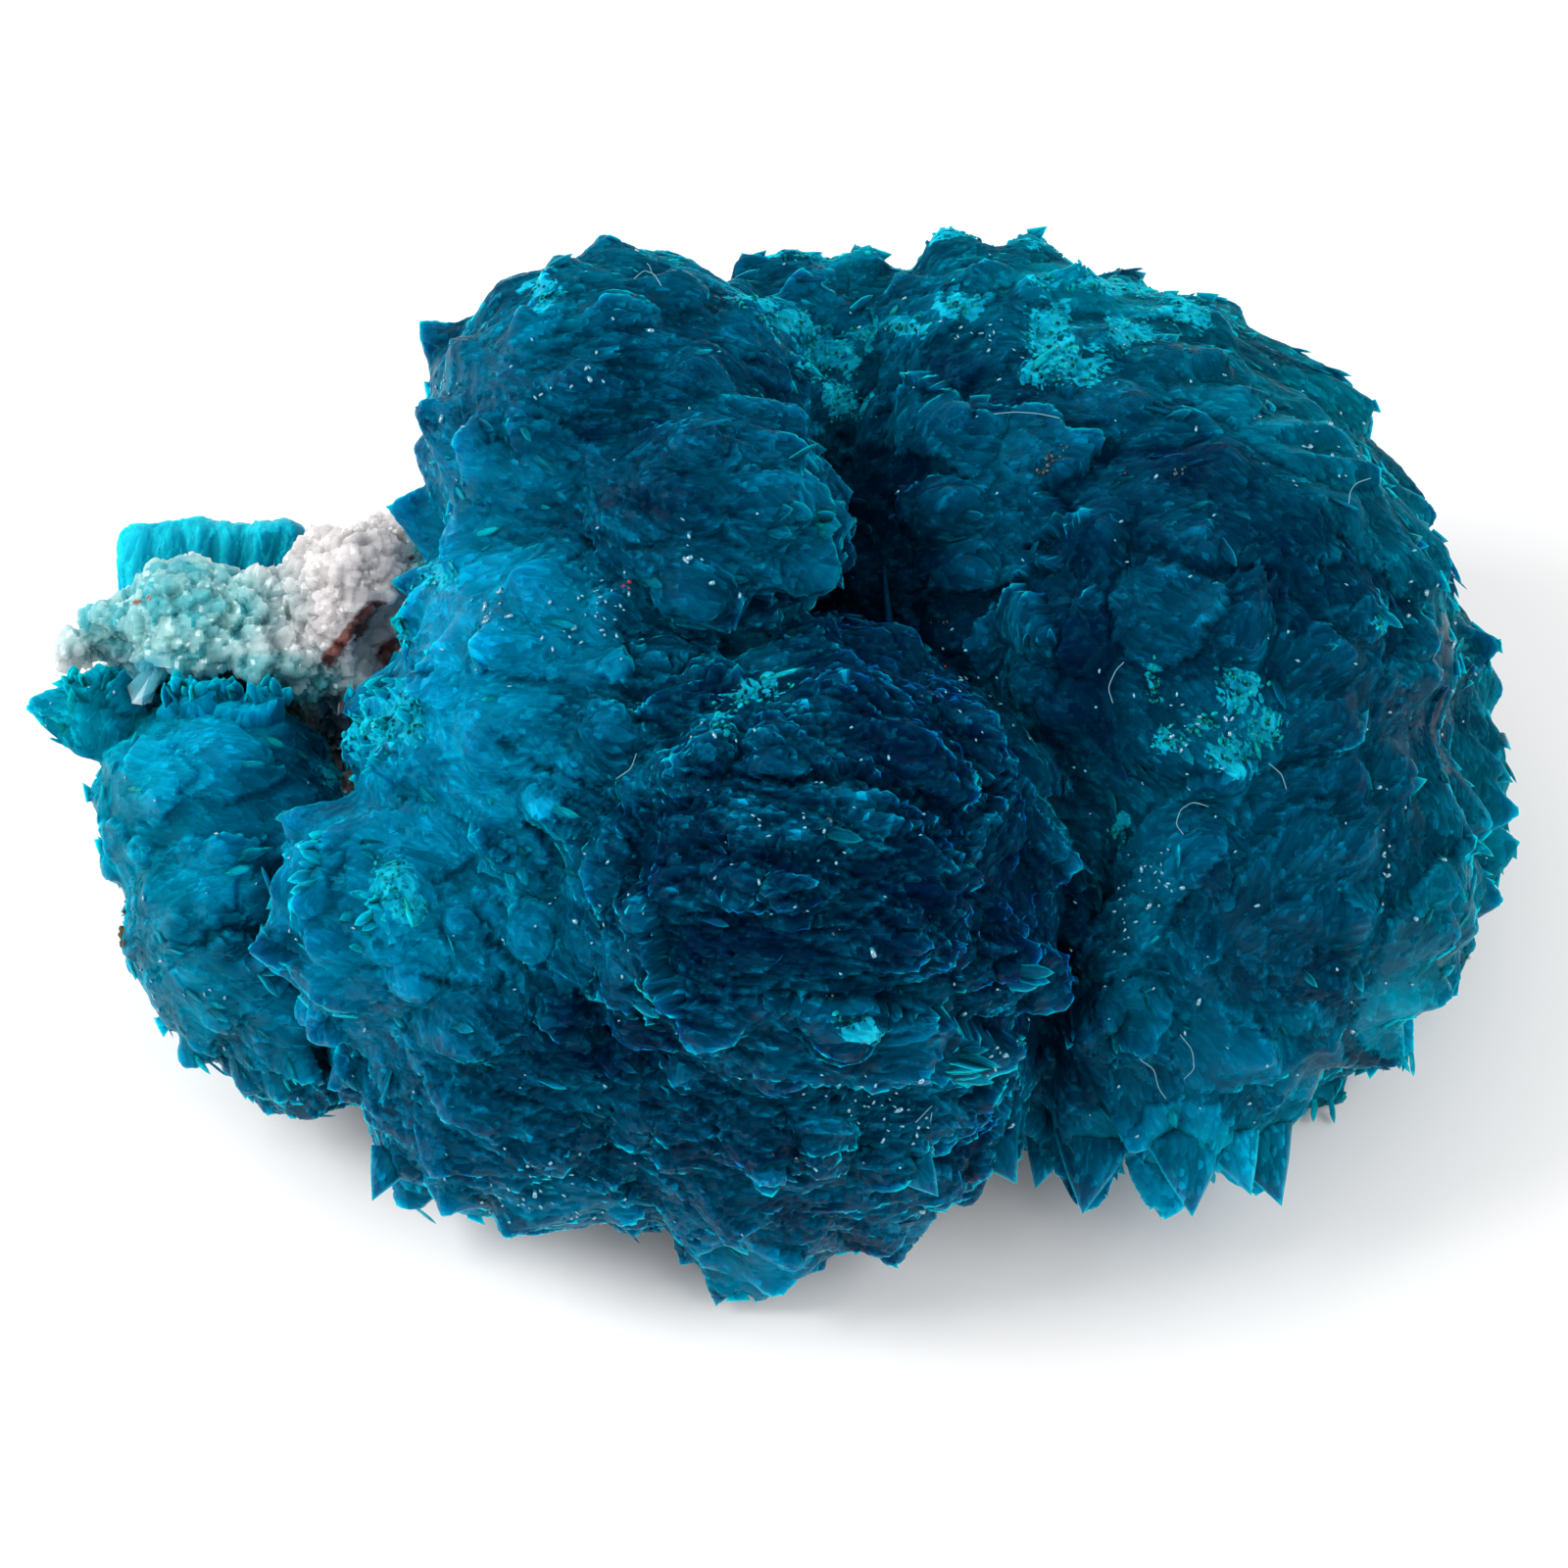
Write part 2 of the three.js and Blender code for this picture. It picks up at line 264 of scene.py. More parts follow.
# %% Spread places, and find the points around them
class Cubes:
    """Points sorted into cubes, to find those around a place."""

    def __init__(self, points, size):
        self.size, self.low = size, points.min(axis=0) - 2 * size
        code = self.code_of(points)
        self.order = np.argsort(code, kind="stable")
        self.code = code[self.order]

    def code_of(self, points):
        return np.floor((points - self.low) / self.size).astype(int) @ (1 << 20, 1 << 10, 1)

    def around(self, place):
        row = self.code_of(place) + COLUMNS
        start = np.searchsorted(self.code, row - 1, "left")
        end = np.searchsorted(self.code, row + 1, "right")
        return np.concatenate([self.order[a:b] for a, b in zip(start, end)])


COLUMNS = np.array([(x << 20) + (y << 10) for x in (-1, 0, 1) for y in (-1, 0, 1)])


def spaced(points, spacing, random, tries):
    """Which of `tries` points picked at random to keep so that none are closer than `spacing`."""
    pick = random.choice(len(points), min(tries, len(points)), replace=False)
    taken, kept = {}, []
    cells = np.floor(points[pick] / spacing).astype(int)
    around = [(x, y, z) for x in (-1, 0, 1) for y in (-1, 0, 1) for z in (-1, 0, 1)]
    for i, (x, y, z) in zip(pick, cells):
        near = [j for a, b, c in around for j in taken.get((x + a, y + b, z + c), ())]
        if not near or ((points[near] - points[i]) ** 2).sum(axis=1).min() > spacing**2:
            taken.setdefault((x, y, z), []).append(i)
            kept.append(i)
    return np.array(kept)


print("columns of cubes searched around a place:", len(COLUMNS))

# %% [markdown]
# ## Blades as overlapping leaves
#
# The end of each blade or sheaf shows as a leaf: blunt where it comes out of the mass, pointed
# at its free end, and lifted a little there, so that it lies over the next one. Leaves are laid
# one after another on the points of a skin, and each point belongs to the leaf that is highest
# there. No two have the same size or quite the same direction. Round leaves that bulge in the
# middle make grains.

# %% Leaves over the points of a skin
# a kind of leaf: spacing, half length, rise along it, tilt across it, bulge, and depth of steps
Kind = namedtuple("Kind", "spacing half rise tilt bulge depth")
# the height at each point and whose leaf it is in; and for each leaf its middle, its two
# directions, its half length and half width, and a random number
Leaves = namedtuple("Leaves", "height own middle ahead side half width chance")


def outline(x):
    """Half the width of a leaf at `x`, from -1 at its foot to 1 at its point."""
    return 1.05 * np.clip(1 - x, 0, 2) ** 0.75 * np.clip(1 + x, 0, 2) ** 0.4


TRIES = 4  # places tried for each one that there may be room for
LEAF_SIZES = (0.7, 1.3)  # the smallest and the largest of a kind, for a usual one of 1
TURN_SPREAD = 0.18  # radians, about 10 degrees, that leaves turn off the grain
SAME_SIDE = 0.3  # a cosine: a leaf ends where the surface has turned away by some 70 degrees


def leaves(points, normal, run, stretch, kind, face_size, random):
    """Lay leaves of one kind over the points; say for each point what its leaf does there."""
    tries = int(TRIES * len(points) * face_size**2 / kind.spacing**2)
    seeds = spaced(points, kind.spacing, random, tries)
    random.shuffle(seeds)
    cubes = Cubes(points, kind.half * LEAF_SIZES[1])
    many = len(seeds)
    half = kind.half * random.uniform(*LEAF_SIZES, many)
    width = half / stretch[seeds] * random.uniform(0.8, 1.25, many)
    turn = random.normal(0, TURN_SPREAD, (many, 1))
    across = np.cross(normal[seeds], run[seeds])
    ahead = run[seeds] * np.cos(turn) + across * np.sin(turn)
    side = across * np.cos(turn) - run[seeds] * np.sin(turn)
    step = random.uniform(-1, 1, many) * kind.depth
    tilt = random.normal(0, kind.tilt, many)
    height = np.full(len(points), -kind.depth - kind.rise * kind.half)
    own = np.zeros(len(points), dtype=int)
    for i, seed in enumerate(seeds):
        near = cubes.around(points[seed])
        offset = points[near] - points[seed]
        x, y = offset @ ahead[i] / half[i], offset @ side[i] / width[i]
        lie = step[i] + kind.rise * half[i] * x + tilt[i] * width[i] * y
        lie = lie + kind.bulge * (1 - x**2 - y**2)
        facing = normal[near] @ normal[seed] > SAME_SIDE
        on = (outline(x) > np.abs(y)) & facing & (lie > height[near])
        height[near[on]], own[near[on]] = lie[on], i
    print("  ", many, "leaves", kind.spacing, "mm apart")
    chance = random.random(many)
    return Leaves(height, own, points[seeds], ahead, side, half, width, chance)


def on_leaves(laid, places, own):
    """How far places are along and across their leaves, in mm, and how far inside its edge."""
    offset = places - laid.middle[own]
    x, y = (offset * laid.ahead[own]).sum(axis=-1), (offset * laid.side[own]).sum(axis=-1)
    room = outline(x / laid.half[own]) - np.abs(y) / laid.width[own]
    return x, y, np.clip(room, 0, 1)


print("a leaf is widest", np.linspace(-1, 1, 41)[outline(np.linspace(-1, 1, 41)).argmax()].round(2))

# %% [markdown]
# ## Larger forms
#
# Between the size of a ball and the size of a scale there are ledges and lumps of a few
# millimetres, where a sheaf of blades has outgrown its neighbours. Each is a lens that is pushed
# out of the skin and is highest at its free end. They could be separate pieces, but those would
# look stuck on. Pushing the skin itself lets the scales run over them.

# %% Ledges and lumps
# place, half length, half width, turn in degrees of the free end, height in mm, and how much paler
# (+) or deeper (-) it is than the rest: partly its own tone, partly painted light and shade
FORMS = [
    (-0.2, 6.4, 1.7, 0.76, -4, 0.35, 0.02),
    (-3.1, 6.3, 1.8, 0.7, -8, 0.3, 0),
    (-5.3, 6.0, 1.8, 0.9, 5, 0.3, 0.03),
    (0.0, 8.7, 1.3, 0.64, -10, 0.4, 0.08),
    (-2.1, 7.7, 2.2, 0.8, -3, 0.25, -0.02),
    (-4.7, 7.7, 1.8, 0.9, -12, 0.3, 0),
    (-6.3, 7.4, 1.2, 1.0, -80, 0.25, 0.03),
    (-3.1, 9.6, 2.0, 0.9, 0, 0.3, 0),
    (-5.1, 9.2, 1.2, 0.8, 20, 0.3, 0.02),
    (-0.7, 9.9, 1.8, 0.7, 5, 0.25, -0.03),
    (-1.2, 6.0, 1.6, 0.44, -12, 0.35, 0.03),
    (-1.0, 4.5, 2.5, 1.44, -10, 0.9, 0.02),
    (0.3, 4.5, 1.0, 1.04, -15, 1.15, 0.06),
    (-1.6, 3.6, 1.0, 0.72, -35, 1.05, 0.03),
    (-3.9, 5.4, 2.2, 1.0, -15, 0.35, 0.02),
    (-5.1, 5.0, 1.8, 1.2, -5, 0.4, 0.06),
    (-4.7, 2.8, 2.4, 1.2, -25, 0.45, 0.1),
    (-2.7, 2.8, 2.2, 0.7, -32, 0.35, 0),
    (-6.5, 2.8, 1.2, 1.2, -60, 0.3, 0.12),
    (-6.9, 0.8, 1.4, 1.0, 170, 0.4, 0.12),
    (-5.1, 1.2, 1.6, 0.8, 175, 0.3, 0.08),
    (-3.5, 0.4, 1.8, 0.8, -20, 0.3, 0.04),
    (-5.9, -0.4, 1.8, 0.9, -15, 0.3, 0.06),
    (-5.0, -0.8, 0.8, 0.36, -5, 0.4, 0.28),
    (-3.9, -1.8, 1.6, 0.9, -40, 0.35, 0.03),
    (-3.7, -3.3, 2.5, 1.2, -38, 0.8, 0.03),
    (-5.3, -2.6, 0.6, 0.26, -75, 0.55, 0.3),
    (-7.1, -1.6, 1.4, 0.8, 10, 0.35, 0.06),
    (-7.7, -2.7, 1.0, 0.5, -60, 0.3, 0.12),
    (-6.9, -3.4, 1.8, 0.9, -25, 0.4, 0.04),
    (-7.1, -5.2, 1.8, 0.9, -10, 0.35, 0.02),
    (-5.1, -5.6, 1.8, 0.8, -15, 0.35, -0.02),
    (-0.1, -1.0, 2.2, 0.56, -3, 0.4, 0),
    (1.5, -1.0, 1.6, 0.44, -6, 0.35, 0.02),
    (-0.9, -2.4, 1.6, 0.4, 2, 0.35, 0.02),
    (2.7, -2.0, 1.4, 0.56, -15, 0.4, 0.02),
    (1.1, -3.6, 2.2, 0.5, 0, 0.4, -0.02),
    (-0.3, 0.4, 1.8, 0.7, -20, 0.35, -0.02),
    (2.1, 0.4, 2.0, 0.8, -30, 0.4, -0.02),
    (4.1, 0.4, 1.9, 0.84, -30, 0.5, 0),
    (-2.7, -0.2, 1.2, 0.6, -35, 0.3, 0),
    (1.5, -5.4, 3.3, 0.8, -3, 0.95, 0.02),
    (-1.9, -5.4, 1.2, 0.8, 15, 0.45, 0.02),
    (2.9, -6.9, 1.8, 0.8, 0, 0.45, -0.01),
    (4.7, -4.2, 1.2, 0.68, -5, 0.8, 0.02),
    (4.3, -1.4, 1.0, 0.5, 75, 0.4, 0.01),
    (5.3, -1.4, 1.0, 0.4, -50, 0.35, 0),
    (4.7, 2.4, 1.2, 0.9, 85, 1.0, 0.01),
    (6.1, 2.6, 1.0, 0.44, 85, 0.5, 0),
    (7.7, 3.0, 1.2, 1.0, 10, 0.9, 0.05),
    (5.0, 6.2, 1.4, 0.84, -3, 1.0, 0.04),
    (3.0, 7.1, 0.9, 0.76, 85, 0.9, 0.03),
    (4.3, 4.9, 1.8, 0.72, -3, 0.9, 0.0),
    (4.1, 4.0, 1.4, 0.52, -3, 0.8, -0.02),
    (7.4, 5.0, 1.4, 0.8, -20, 0.3, -0.02),
    (8.9, 7.5, 1.0, 0.8, -60, 0.35, 0.02),
    (5.3, 8.4, 1.2, 0.7, -60, 0.35, 0),
    (9.7, 4.8, 1.6, 1.0, -20, 0.3, -0.02),
    (9.3, 2.8, 1.2, 1.0, 80, 0.3, -0.02),
    (8.1, -1.4, 2.0, 0.72, 52, 0.6, 0),
    (7.1, -3.0, 1.6, 0.62, 55, 0.55, 0.02),
    (7.1, -5.0, 0.8, 0.72, -80, 0.6, 0.02),
    (9.0, -5.8, 1.2, 0.8, -20, 0.45, 0.06),
    (10.1, -2.4, 2.0, 1.0, 70, 0.35, -0.02),
    (11.7, -0.4, 2.0, 0.9, 80, 0.3, 0),
    (12.9, 1.6, 2.0, 0.9, 75, 0.3, 0.02),
    (12.5, 4.4, 1.8, 0.9, -60, 0.3, 0.02),
    (10.7, 6.6, 1.8, 0.9, -40, 0.3, 0.02),
    (13.1, -3.4, 2.0, 0.9, 70, 0.4, 0.05),
    (12.7, -5.2, 1.2, 0.8, -35, 0.45, 0.14),
    (8.1, -8.0, 1.2, 1.04, -80, 0.6, 0.16),
    (9.6, -8.2, 0.8, 0.84, -70, 0.45, 0.14),
    (6.4, -8.0, 1.0, 0.72, -85, 0.45, 0.03),
    (10.7, -6.0, 1.2, 0.8, -50, 0.3, 0.04),
    (5.1, -7.0, 1.2, 0.9, -85, 0.35, -0.03),
    (11.1, 2.0, 1.6, 0.9, 60, 0.3, -0.02),
    (3.3, 10.2, 2.2, 0.6, 5, 0.2, -0.03),
    (6.5, 9.6, 2.2, 0.44, -8, 0.25, 0.12),
    (1.3, 10.5, 1.2, 0.28, 5, 0.18, 0.12),
    (4.5, 10.7, 1.8, 0.24, -5, 0.12, 0.12),
    (2.7, 9.0, 1.5, 0.44, 15, 0.28, 0.08),
    (-3.9, -8.9, 1.2, 0.6, 0, 0.4, 0.08),
    (-0.2, -8.2, 0.3, 0.34, -80, 0.3, 0.12),
    (-3.5, -6.8, 2.2, 0.9, -8, 0.35, -0.01),
    (-0.3, -7.0, 1.8, 1.0, -10, 0.35, -0.01),
    (2.1, -8.4, 1.8, 0.7, -5, 0.35, 0),
    (-5.9, -7.6, 1.8, 0.9, -15, 0.35, 0.02),
    (-0.5, -10.2, 1.4, 0.6, 0, 0.4, 0.12),
    (-7.5, -8.0, 1.0, 0.9, -80, 0.4, 0.04),
    (-12.9, -0.4, 1.2, 0.9, 10, 0.4, 0.05),
    (-11.3, 0.0, 1.2, 0.8, -10, 0.35, 0.03),
    (-11.9, -2.4, 1.6, 0.9, 30, 0.4, 0.05),
    (-13.5, -2.0, 0.9, 0.8, 100, 0.35, 0.08),
    (-11.3, -4.4, 1.6, 0.9, 20, 0.4, 0.02),
    (-9.7, -2.4, 1.2, 0.8, 35, 0.35, 0.06),
    (-14.7, 1.4, 0.8, 0.5, 170, 0.3, 0.06),
    (-9.9, -5.6, 1.6, 0.9, -30, 0.4, 0),
    (-12.3, -5.4, 1.2, 0.8, -60, 0.35, 0.05),
    (-12.0, 1.35, 0.9, 0.4, 5, 1.1, 0.02),
    (-13.1, 1.55, 0.6, 0.4, 20, 1.0, 0.02),
    (-10.9, 1.15, 0.7, 0.35, -15, 1.1, 0.0),
    (-14.2, 1.7, 0.5, 0.3, 25, 0.4, 0.15),
]
print(len(FORMS), "larger forms")

# %% [markdown]
# ## What the forms do to the skin
#
# A form raises the points inside its outline, and the grain there turns to run along it. Its free
# rim is thin and therefore paler, and it also gets painted light. The skin just under the rim gets
# painted shade, a little deeper in colour, where less light gets in.


# %% Height, grain and colour from the forms
STEEP = 9  # a form's edge rises within a ninth of its half width
RIM_PALER_AND_PAINTED_LIGHT = 0.07  # how much paler the free rim is than the rest of the form: it is thin, and it gets painted light
PAINTED_SHADE_UNDER_RIM = 0.04  # painted shade on the skin under the rim, for each mm of its height
MOST_FORM_CHANGE = (-0.1, 0.4)  # deeper and paler, all forms together


def formed(points, normal, run):
    """What the forms do at each point: height, grain turned along them, and how much paler, with
    painted light on rims and painted shade under them.
    """
    face = to_face(points)
    facing = np.clip((normal @ OUT - 0.1) / 0.4, 0, 1)  # none on the sides and behind
    height, paler = np.zeros(len(points)), np.zeros(len(points))
    # their outlines wander at three scales, so that no two edges look the same
    wobble = 0.1 * smooth_way(points, 1.6, 70) + 0.1 * smooth_way(points, 0.5, 75)
    wobble = wobble + 0.06 * smooth_way(points, 0.22, 85)
    patchy = 0.4 + 1.2 * smooth_noise(points, 0.9, 79)
    for u, v, half_length, half_width, turn, proud, amount in FORMS:
        angle = math.radians(turn)
        x = (face[:, 0] - u) * math.cos(angle) + (face[:, 1] - v) * math.sin(angle)
        y = -(face[:, 0] - u) * math.sin(angle) + (face[:, 1] - v) * math.cos(angle)
        x, y = x / half_length + wobble[:, 0], y / half_width + wobble[:, 1]
        room = outline(x) - np.abs(y)
        inside = facing * (room > 0)
        lie = proud * np.clip(room * STEEP, 0, 1) * (0.6 + 0.4 * np.clip(x, -1, 1))
        top = inside * lie > height
        height = np.where(top, inside * lie, height)
        # the free rim is thin and paler, and it gets painted light
        rim = RIM_PALER_AND_PAINTED_LIGHT * (room < 0.2) * (x > 0.1) * np.clip(patchy, 0, 1)
        paler = np.where(top, amount + rim, paler)
        # painted shade on the skin just under the rim
        under = (room > -0.3) & (room <= 0) & (height < 0.4 * proud)
        paler = np.where(under & (facing > 0), paler - PAINTED_SHADE_UNDER_RIM * proud, paler)
        axis = turn_from_face((math.cos(angle), math.sin(angle), 0))
        run = np.where(top[:, None], 0.6 * run + 1.2 * axis, run)
    return height, along_surface(run, normal), np.clip(paler, *MOST_FORM_CHANGE)


print("proudest form:", max(form[5] for form in FORMS), "mm")

# %% [markdown]
# ## Colour by place
#
# Cavansite is a clear, strong blue. It looks pale where it is thin and light comes through, and
# navy in the folds, where shade falls. Here both are painted into the colour, as painted light and
# painted shade, along with the crystals' own paler and deeper parts. A picture laid over the skin
# could say where, but then the colour could not be changed. Here it is a list of ovals, each a
# little paler or deeper than the rest.

# %% Pale and deep places
# place on the face, reach across and up, and how much paler (+) or deeper (-) than the rest
TONE_AND_PAINTED_LIGHT_PLACES = [
    # painted shade in the deep folds of the left-hand mass
    (-1.0, 0.6, 1.2, 1.0, -0.03),
    (-6.9, -5.6, 1.0, 0.8, -0.03),
    (0.7, 9.6, 1.2, 0.8, -0.04),
    (-2.2, 5.0, 1.2, 1.0, -0.09),
    (1.2, 4.6, 0.8, 1.0, -0.04),
    (2.6, 3.5, 1.2, 2.2, -0.1),
    (-1.2, 3.4, 1.0, 0.6, -0.04),
    (1.5, 2.8, 1.2, 0.4, -0.08),
    (1.1, 1.0, 2.0, 1.2, -0.05),
    (2.1, 0.2, 0.8, 1.0, -0.05),
    (2.4, -1.4, 1.2, 0.9, -0.03),
    (3.1, -1.4, 1.0, 1.0, -0.04),
    (-2.3, -2.0, 0.9, 1.6, -0.06),
    (1.4, -2.0, 0.8, 0.3, -0.06),
    (-0.5, -3.2, 3.0, 2.2, -0.08),
    (-0.9, -3.3, 1.4, 0.4, -0.06),
    (-2.9, -5.4, 1.3, 1.0, -0.09),
    (-3.9, -5.5, 2.4, 0.6, -0.05),
    (-0.9, -7.4, 1.2, 1.0, -0.02),
    (-0.9, -7.9, 3.0, 1.2, -0.04),
    # painted shade in the deep folds of the right-hand mass, and its deeper thick parts
    (7.1, 4.2, 2.8, 2.2, -0.06),
    (10.7, 3.2, 1.6, 1.2, -0.04),
    (10.0, 2.0, 3.0, 2.2, -0.03),
    (5.9, 1.6, 0.8, 1.6, -0.05),
    (7.1, 1.6, 1.2, 0.6, -0.03),
    (3.3, 1.4, 1.4, 2.4, -0.045),
    (13.2, 1.4, 1.0, 2.0, -0.1),
    (11.2, -1.4, 1.0, 1.0, -0.03),
    (3.8, -2.2, 1.6, 2.2, -0.08),
    (4.7, -2.8, 1.4, 0.8, -0.06),
    (5.1, -3.4, 1.0, 1.2, -0.12),
    (5.1, 2.6, 1.0, 1.0, -0.03),
    (5.8, -4.1, 0.5, 1.0, -0.08),
    (5.3, -5.2, 1.0, 1.2, -0.06),
    (4.1, -7.4, 0.6, 1.0, -0.08),
    # pale thin edges and ledges of the left-hand mass, with painted light where the lamp falls on
    # them
    (1.1, 9.8, 1.0, 1.0, 0.06),
    (-6.9, 6.6, 0.8, 1.2, 0.05),
    (-6.8, 5.4, 1.0, 1.6, 0.1),
    (-5.9, 5.4, 1.6, 1.6, 0.035),
    (-5.5, 3.2, 2.0, 1.0, 0.06),
    (-4.9, 1.8, 1.2, 1.4, 0.09),
    (-7.2, 1.2, 2.4, 3.8, 0.27),
    (-8.6, -0.6, 0.9, 1.2, 0.08),
    (-6.9, -3.0, 1.1, 1.5, 0.16),
    (-4.9, -3.4, 1.0, 1.0, 0.08),
    (1.1, -3.4, 1.0, 0.8, 0.03),
    (-3.1, -3.6, 1.6, 0.7, 0.04),
    (-3.9, -9.2, 1.6, 0.5, 0.06),
    (-6.8, -9.3, 1.1, 0.8, 0.3),
    (3.1, -9.4, 1.0, 0.8, 0.09),
    (-0.5, -10.4, 1.4, 0.6, 0.12),
    # pale thin edges and ledges of the right-hand mass, with painted light where the lamp falls on
    # them
    (9.2, 0.8, 1.1, 0.9, 0.06),
    (6.5, 9.6, 2.2, 0.5, 0.06),
    (6.1, 8.8, 1.8, 0.9, 0.06),
    (11.1, 7.6, 1.2, 1.2, 0.06),
    (13.7, 3.6, 0.8, 2.4, 0.06),
    (7.7, 2.8, 1.2, 0.9, 0.03),
    (9.1, 0.6, 0.8, 0.7, 0.05),
    (14.7, -1.4, 0.9, 3.2, 0.12),
    (7.1, -1.6, 1.2, 1.2, 0.07),
    (8.1, -1.6, 1.6, 0.7, 0.03),
    (7.1, -3.5, 0.8, 1.0, 0.09),
    (8.1, -4.8, 1.8, 1.8, 0.07),
    (7.0, -5.6, 0.8, 0.8, 0.04),
    (12.7, -5.0, 1.4, 1.0, 0.1),
    (9.0, -5.7, 1.1, 0.7, 0.04),
    (6.8, -7.2, 1.0, 1.0, 0.05),
    (5.1, -7.4, 2.0, 1.0, 0.07),
    (8.9, -8.0, 2.2, 1.2, 0.22),
    # the small ball, pale, with painted shade low on it and in the hollow beside it
    (-9.3, 1.0, 0.6, 0.9, -0.4),
    (-11.0, 0.9, 1.2, 0.6, 0.32),
    (-14.6, 0.8, 1.0, 1.0, 0.25),
    (-12.0, 0.8, 1.8, 0.9, 0.15),
    (-12.0, -1.2, 2.4, 3.2, 0.27),
    (-10.9, -3.4, 1.0, 0.9, -0.24),
    (-9.0, -4.6, 2.4, 2.0, 0.14),
    (-12.9, -5.4, 1.0, 1.0, 0.1),
    # the slab of the spray, clear turquoise, with painted light where light comes through it from
    # behind
    (-12.0, 5.0, 2.2, 0.9, 0.5),
    (-13.5, 4.1, 0.5, 1.2, 0.5),
]
PALE = 0.142  # how pale the rest is, from 0 for the deepest blue to 1
print(len(TONE_AND_PAINTED_LIGHT_PLACES), "pale and deep places")

# %% [markdown]
# ## Crushed places
#
# Cavansite is brittle. Where a specimen has been knocked, its blades are broken to a light
# turquoise powder of small splinters.

# %% Crushed places
# crushed or freshly broken places: place on the face, reach across and up, in mm
CRUSHED_PLACES = [
    (0.2, 8.9, 0.5, 0.22),
    (0.9, 8.2, 0.5, 0.38),
    (1.3, 7.4, 0.35, 0.35),
    (-0.6, 9.3, 0.4, 0.12),
    (1.7, 8.8, 0.3, 0.1),
    (2.6, 8.9, 0.45, 0.14),
    (3.6, 9.3, 0.35, 0.2),
    (5.5, 8.7, 0.4, 0.55),
    (6.0, 8.0, 0.55, 0.35),
    (5.3, 7.8, 0.4, 0.2),
    (5.3, 9.8, 0.4, 0.1),
    (6.5, 9.8, 0.6, 0.16),
    (7.5, 9.8, 0.6, 0.2),
    (8.3, 9.2, 0.45, 0.28),
    (7.1, 8.7, 0.45, 0.35),
    (0.6, 10.5, 0.8, 0.12),
    (3.8, 10.9, 1.1, 0.12),
    (5.9, 10.7, 0.7, 0.1),
    (-0.2, 1.6, 0.32, 0.12),
    (-0.7, 1.3, 0.28, 0.2),
    (-1.1, 0.8, 0.18, 0.18),
    (9.1, 1.5, 0.4, 0.35),
    (7.7, 0.5, 0.25, 0.22),
    (9.6, 0.7, 0.42, 0.32),
    (8.9, 0.2, 0.35, 0.33),
    (8.4, 0.8, 0.2, 0.15),
    (-8.2, 0.6, 0.8, 0.35),
    (-7.4, 0.9, 0.45, 0.4),
    (-9.0, -0.2, 0.3, 0.3),
    (-7.7, -2.5, 0.3, 0.5),
    (-7.3, -2.9, 0.28, 0.3),
    (-4.7, 9.4, 0.3, 0.22),
    (-6.9, 3.8, 0.35, 0.2),
    (11.9, 2.8, 0.1, 0.1),
    (7.4, 1.6, 0.1, 0.3),
    (6.7, -1.4, 0.2, 0.15),
    (1.4, -5.0, 0.3, 0.12),
]
print(len(CRUSHED_PLACES), "crushed places")

# %% [markdown]
# ## Numbers that the material reads
#
# How pale, how green and how crushed a point is depend on its place. They are kept as numbers at
# the points of the skin. Paleness holds painted light and shade as well as the crystals' own tone.
# The mass is greener towards the outside, where the crystals are shortest, and a little paler
# there, as painted light along the outline.


# %% How pale, green and crushed a point is
def blob(uv, u, v, reach_u, reach_v):
    """1 in the middle of an oval place on the show face, falling smoothly to 0."""
    return np.exp(-(((uv[:, 0] - u) / reach_u) ** 2) - ((uv[:, 1] - v) / reach_v) ** 2)


GREEN_FROM, GREEN_WHOLLY = 9.2, 13.2  # mm from the middle of the show face
GREEN_OVAL = (0.82, 1, 0)  # the green starts farther out across than up
DEEPEST = 0.035  # no place is less pale than this


def zone_of(points, paler):
    """For each point: how pale, painted light and shade included, how green and how crushed it is.
    """
    face = to_face(points)
    pale = PALE + 0.035 * smooth_noise(points, 2.5, 98) + paler
    patches = 1 + 0.22 * smooth_noise(points, 1.3, 97)
    for *place, amount in TONE_AND_PAINTED_LIGHT_PLACES:
        pale = pale + amount * blob(face, *place)
    from_middle = np.linalg.norm(face * GREEN_OVAL + (0, 0.5, 0), axis=1)
    green = np.clip((from_middle - GREEN_FROM) / (GREEN_WHOLLY - GREEN_FROM), 0, 1)
    ragged = face + 0.2 * smooth_way(face, 0.6, 91)  # crushed places have ragged edges
    crushed = np.max([blob(ragged, *place) for place in CRUSHED_PLACES], axis=0)
    # painted light: a little paler along the outline, where the rim glows against the light
    pale = pale * patches + 0.05 * green
    return np.stack([np.clip(pale, DEEPEST, 2), green, crushed], axis=1)


print("middle of the face:", zone_of(from_face([[0.0, 0.0, 0.0]]), 0.0).round(2))

# %% [markdown]
# ## Meshes from arrays
#
# A skin has far too many faces to add one by one. Blender can take whole arrays: the places of
# the points, the points of each face, and colour attributes for points or for face corners.


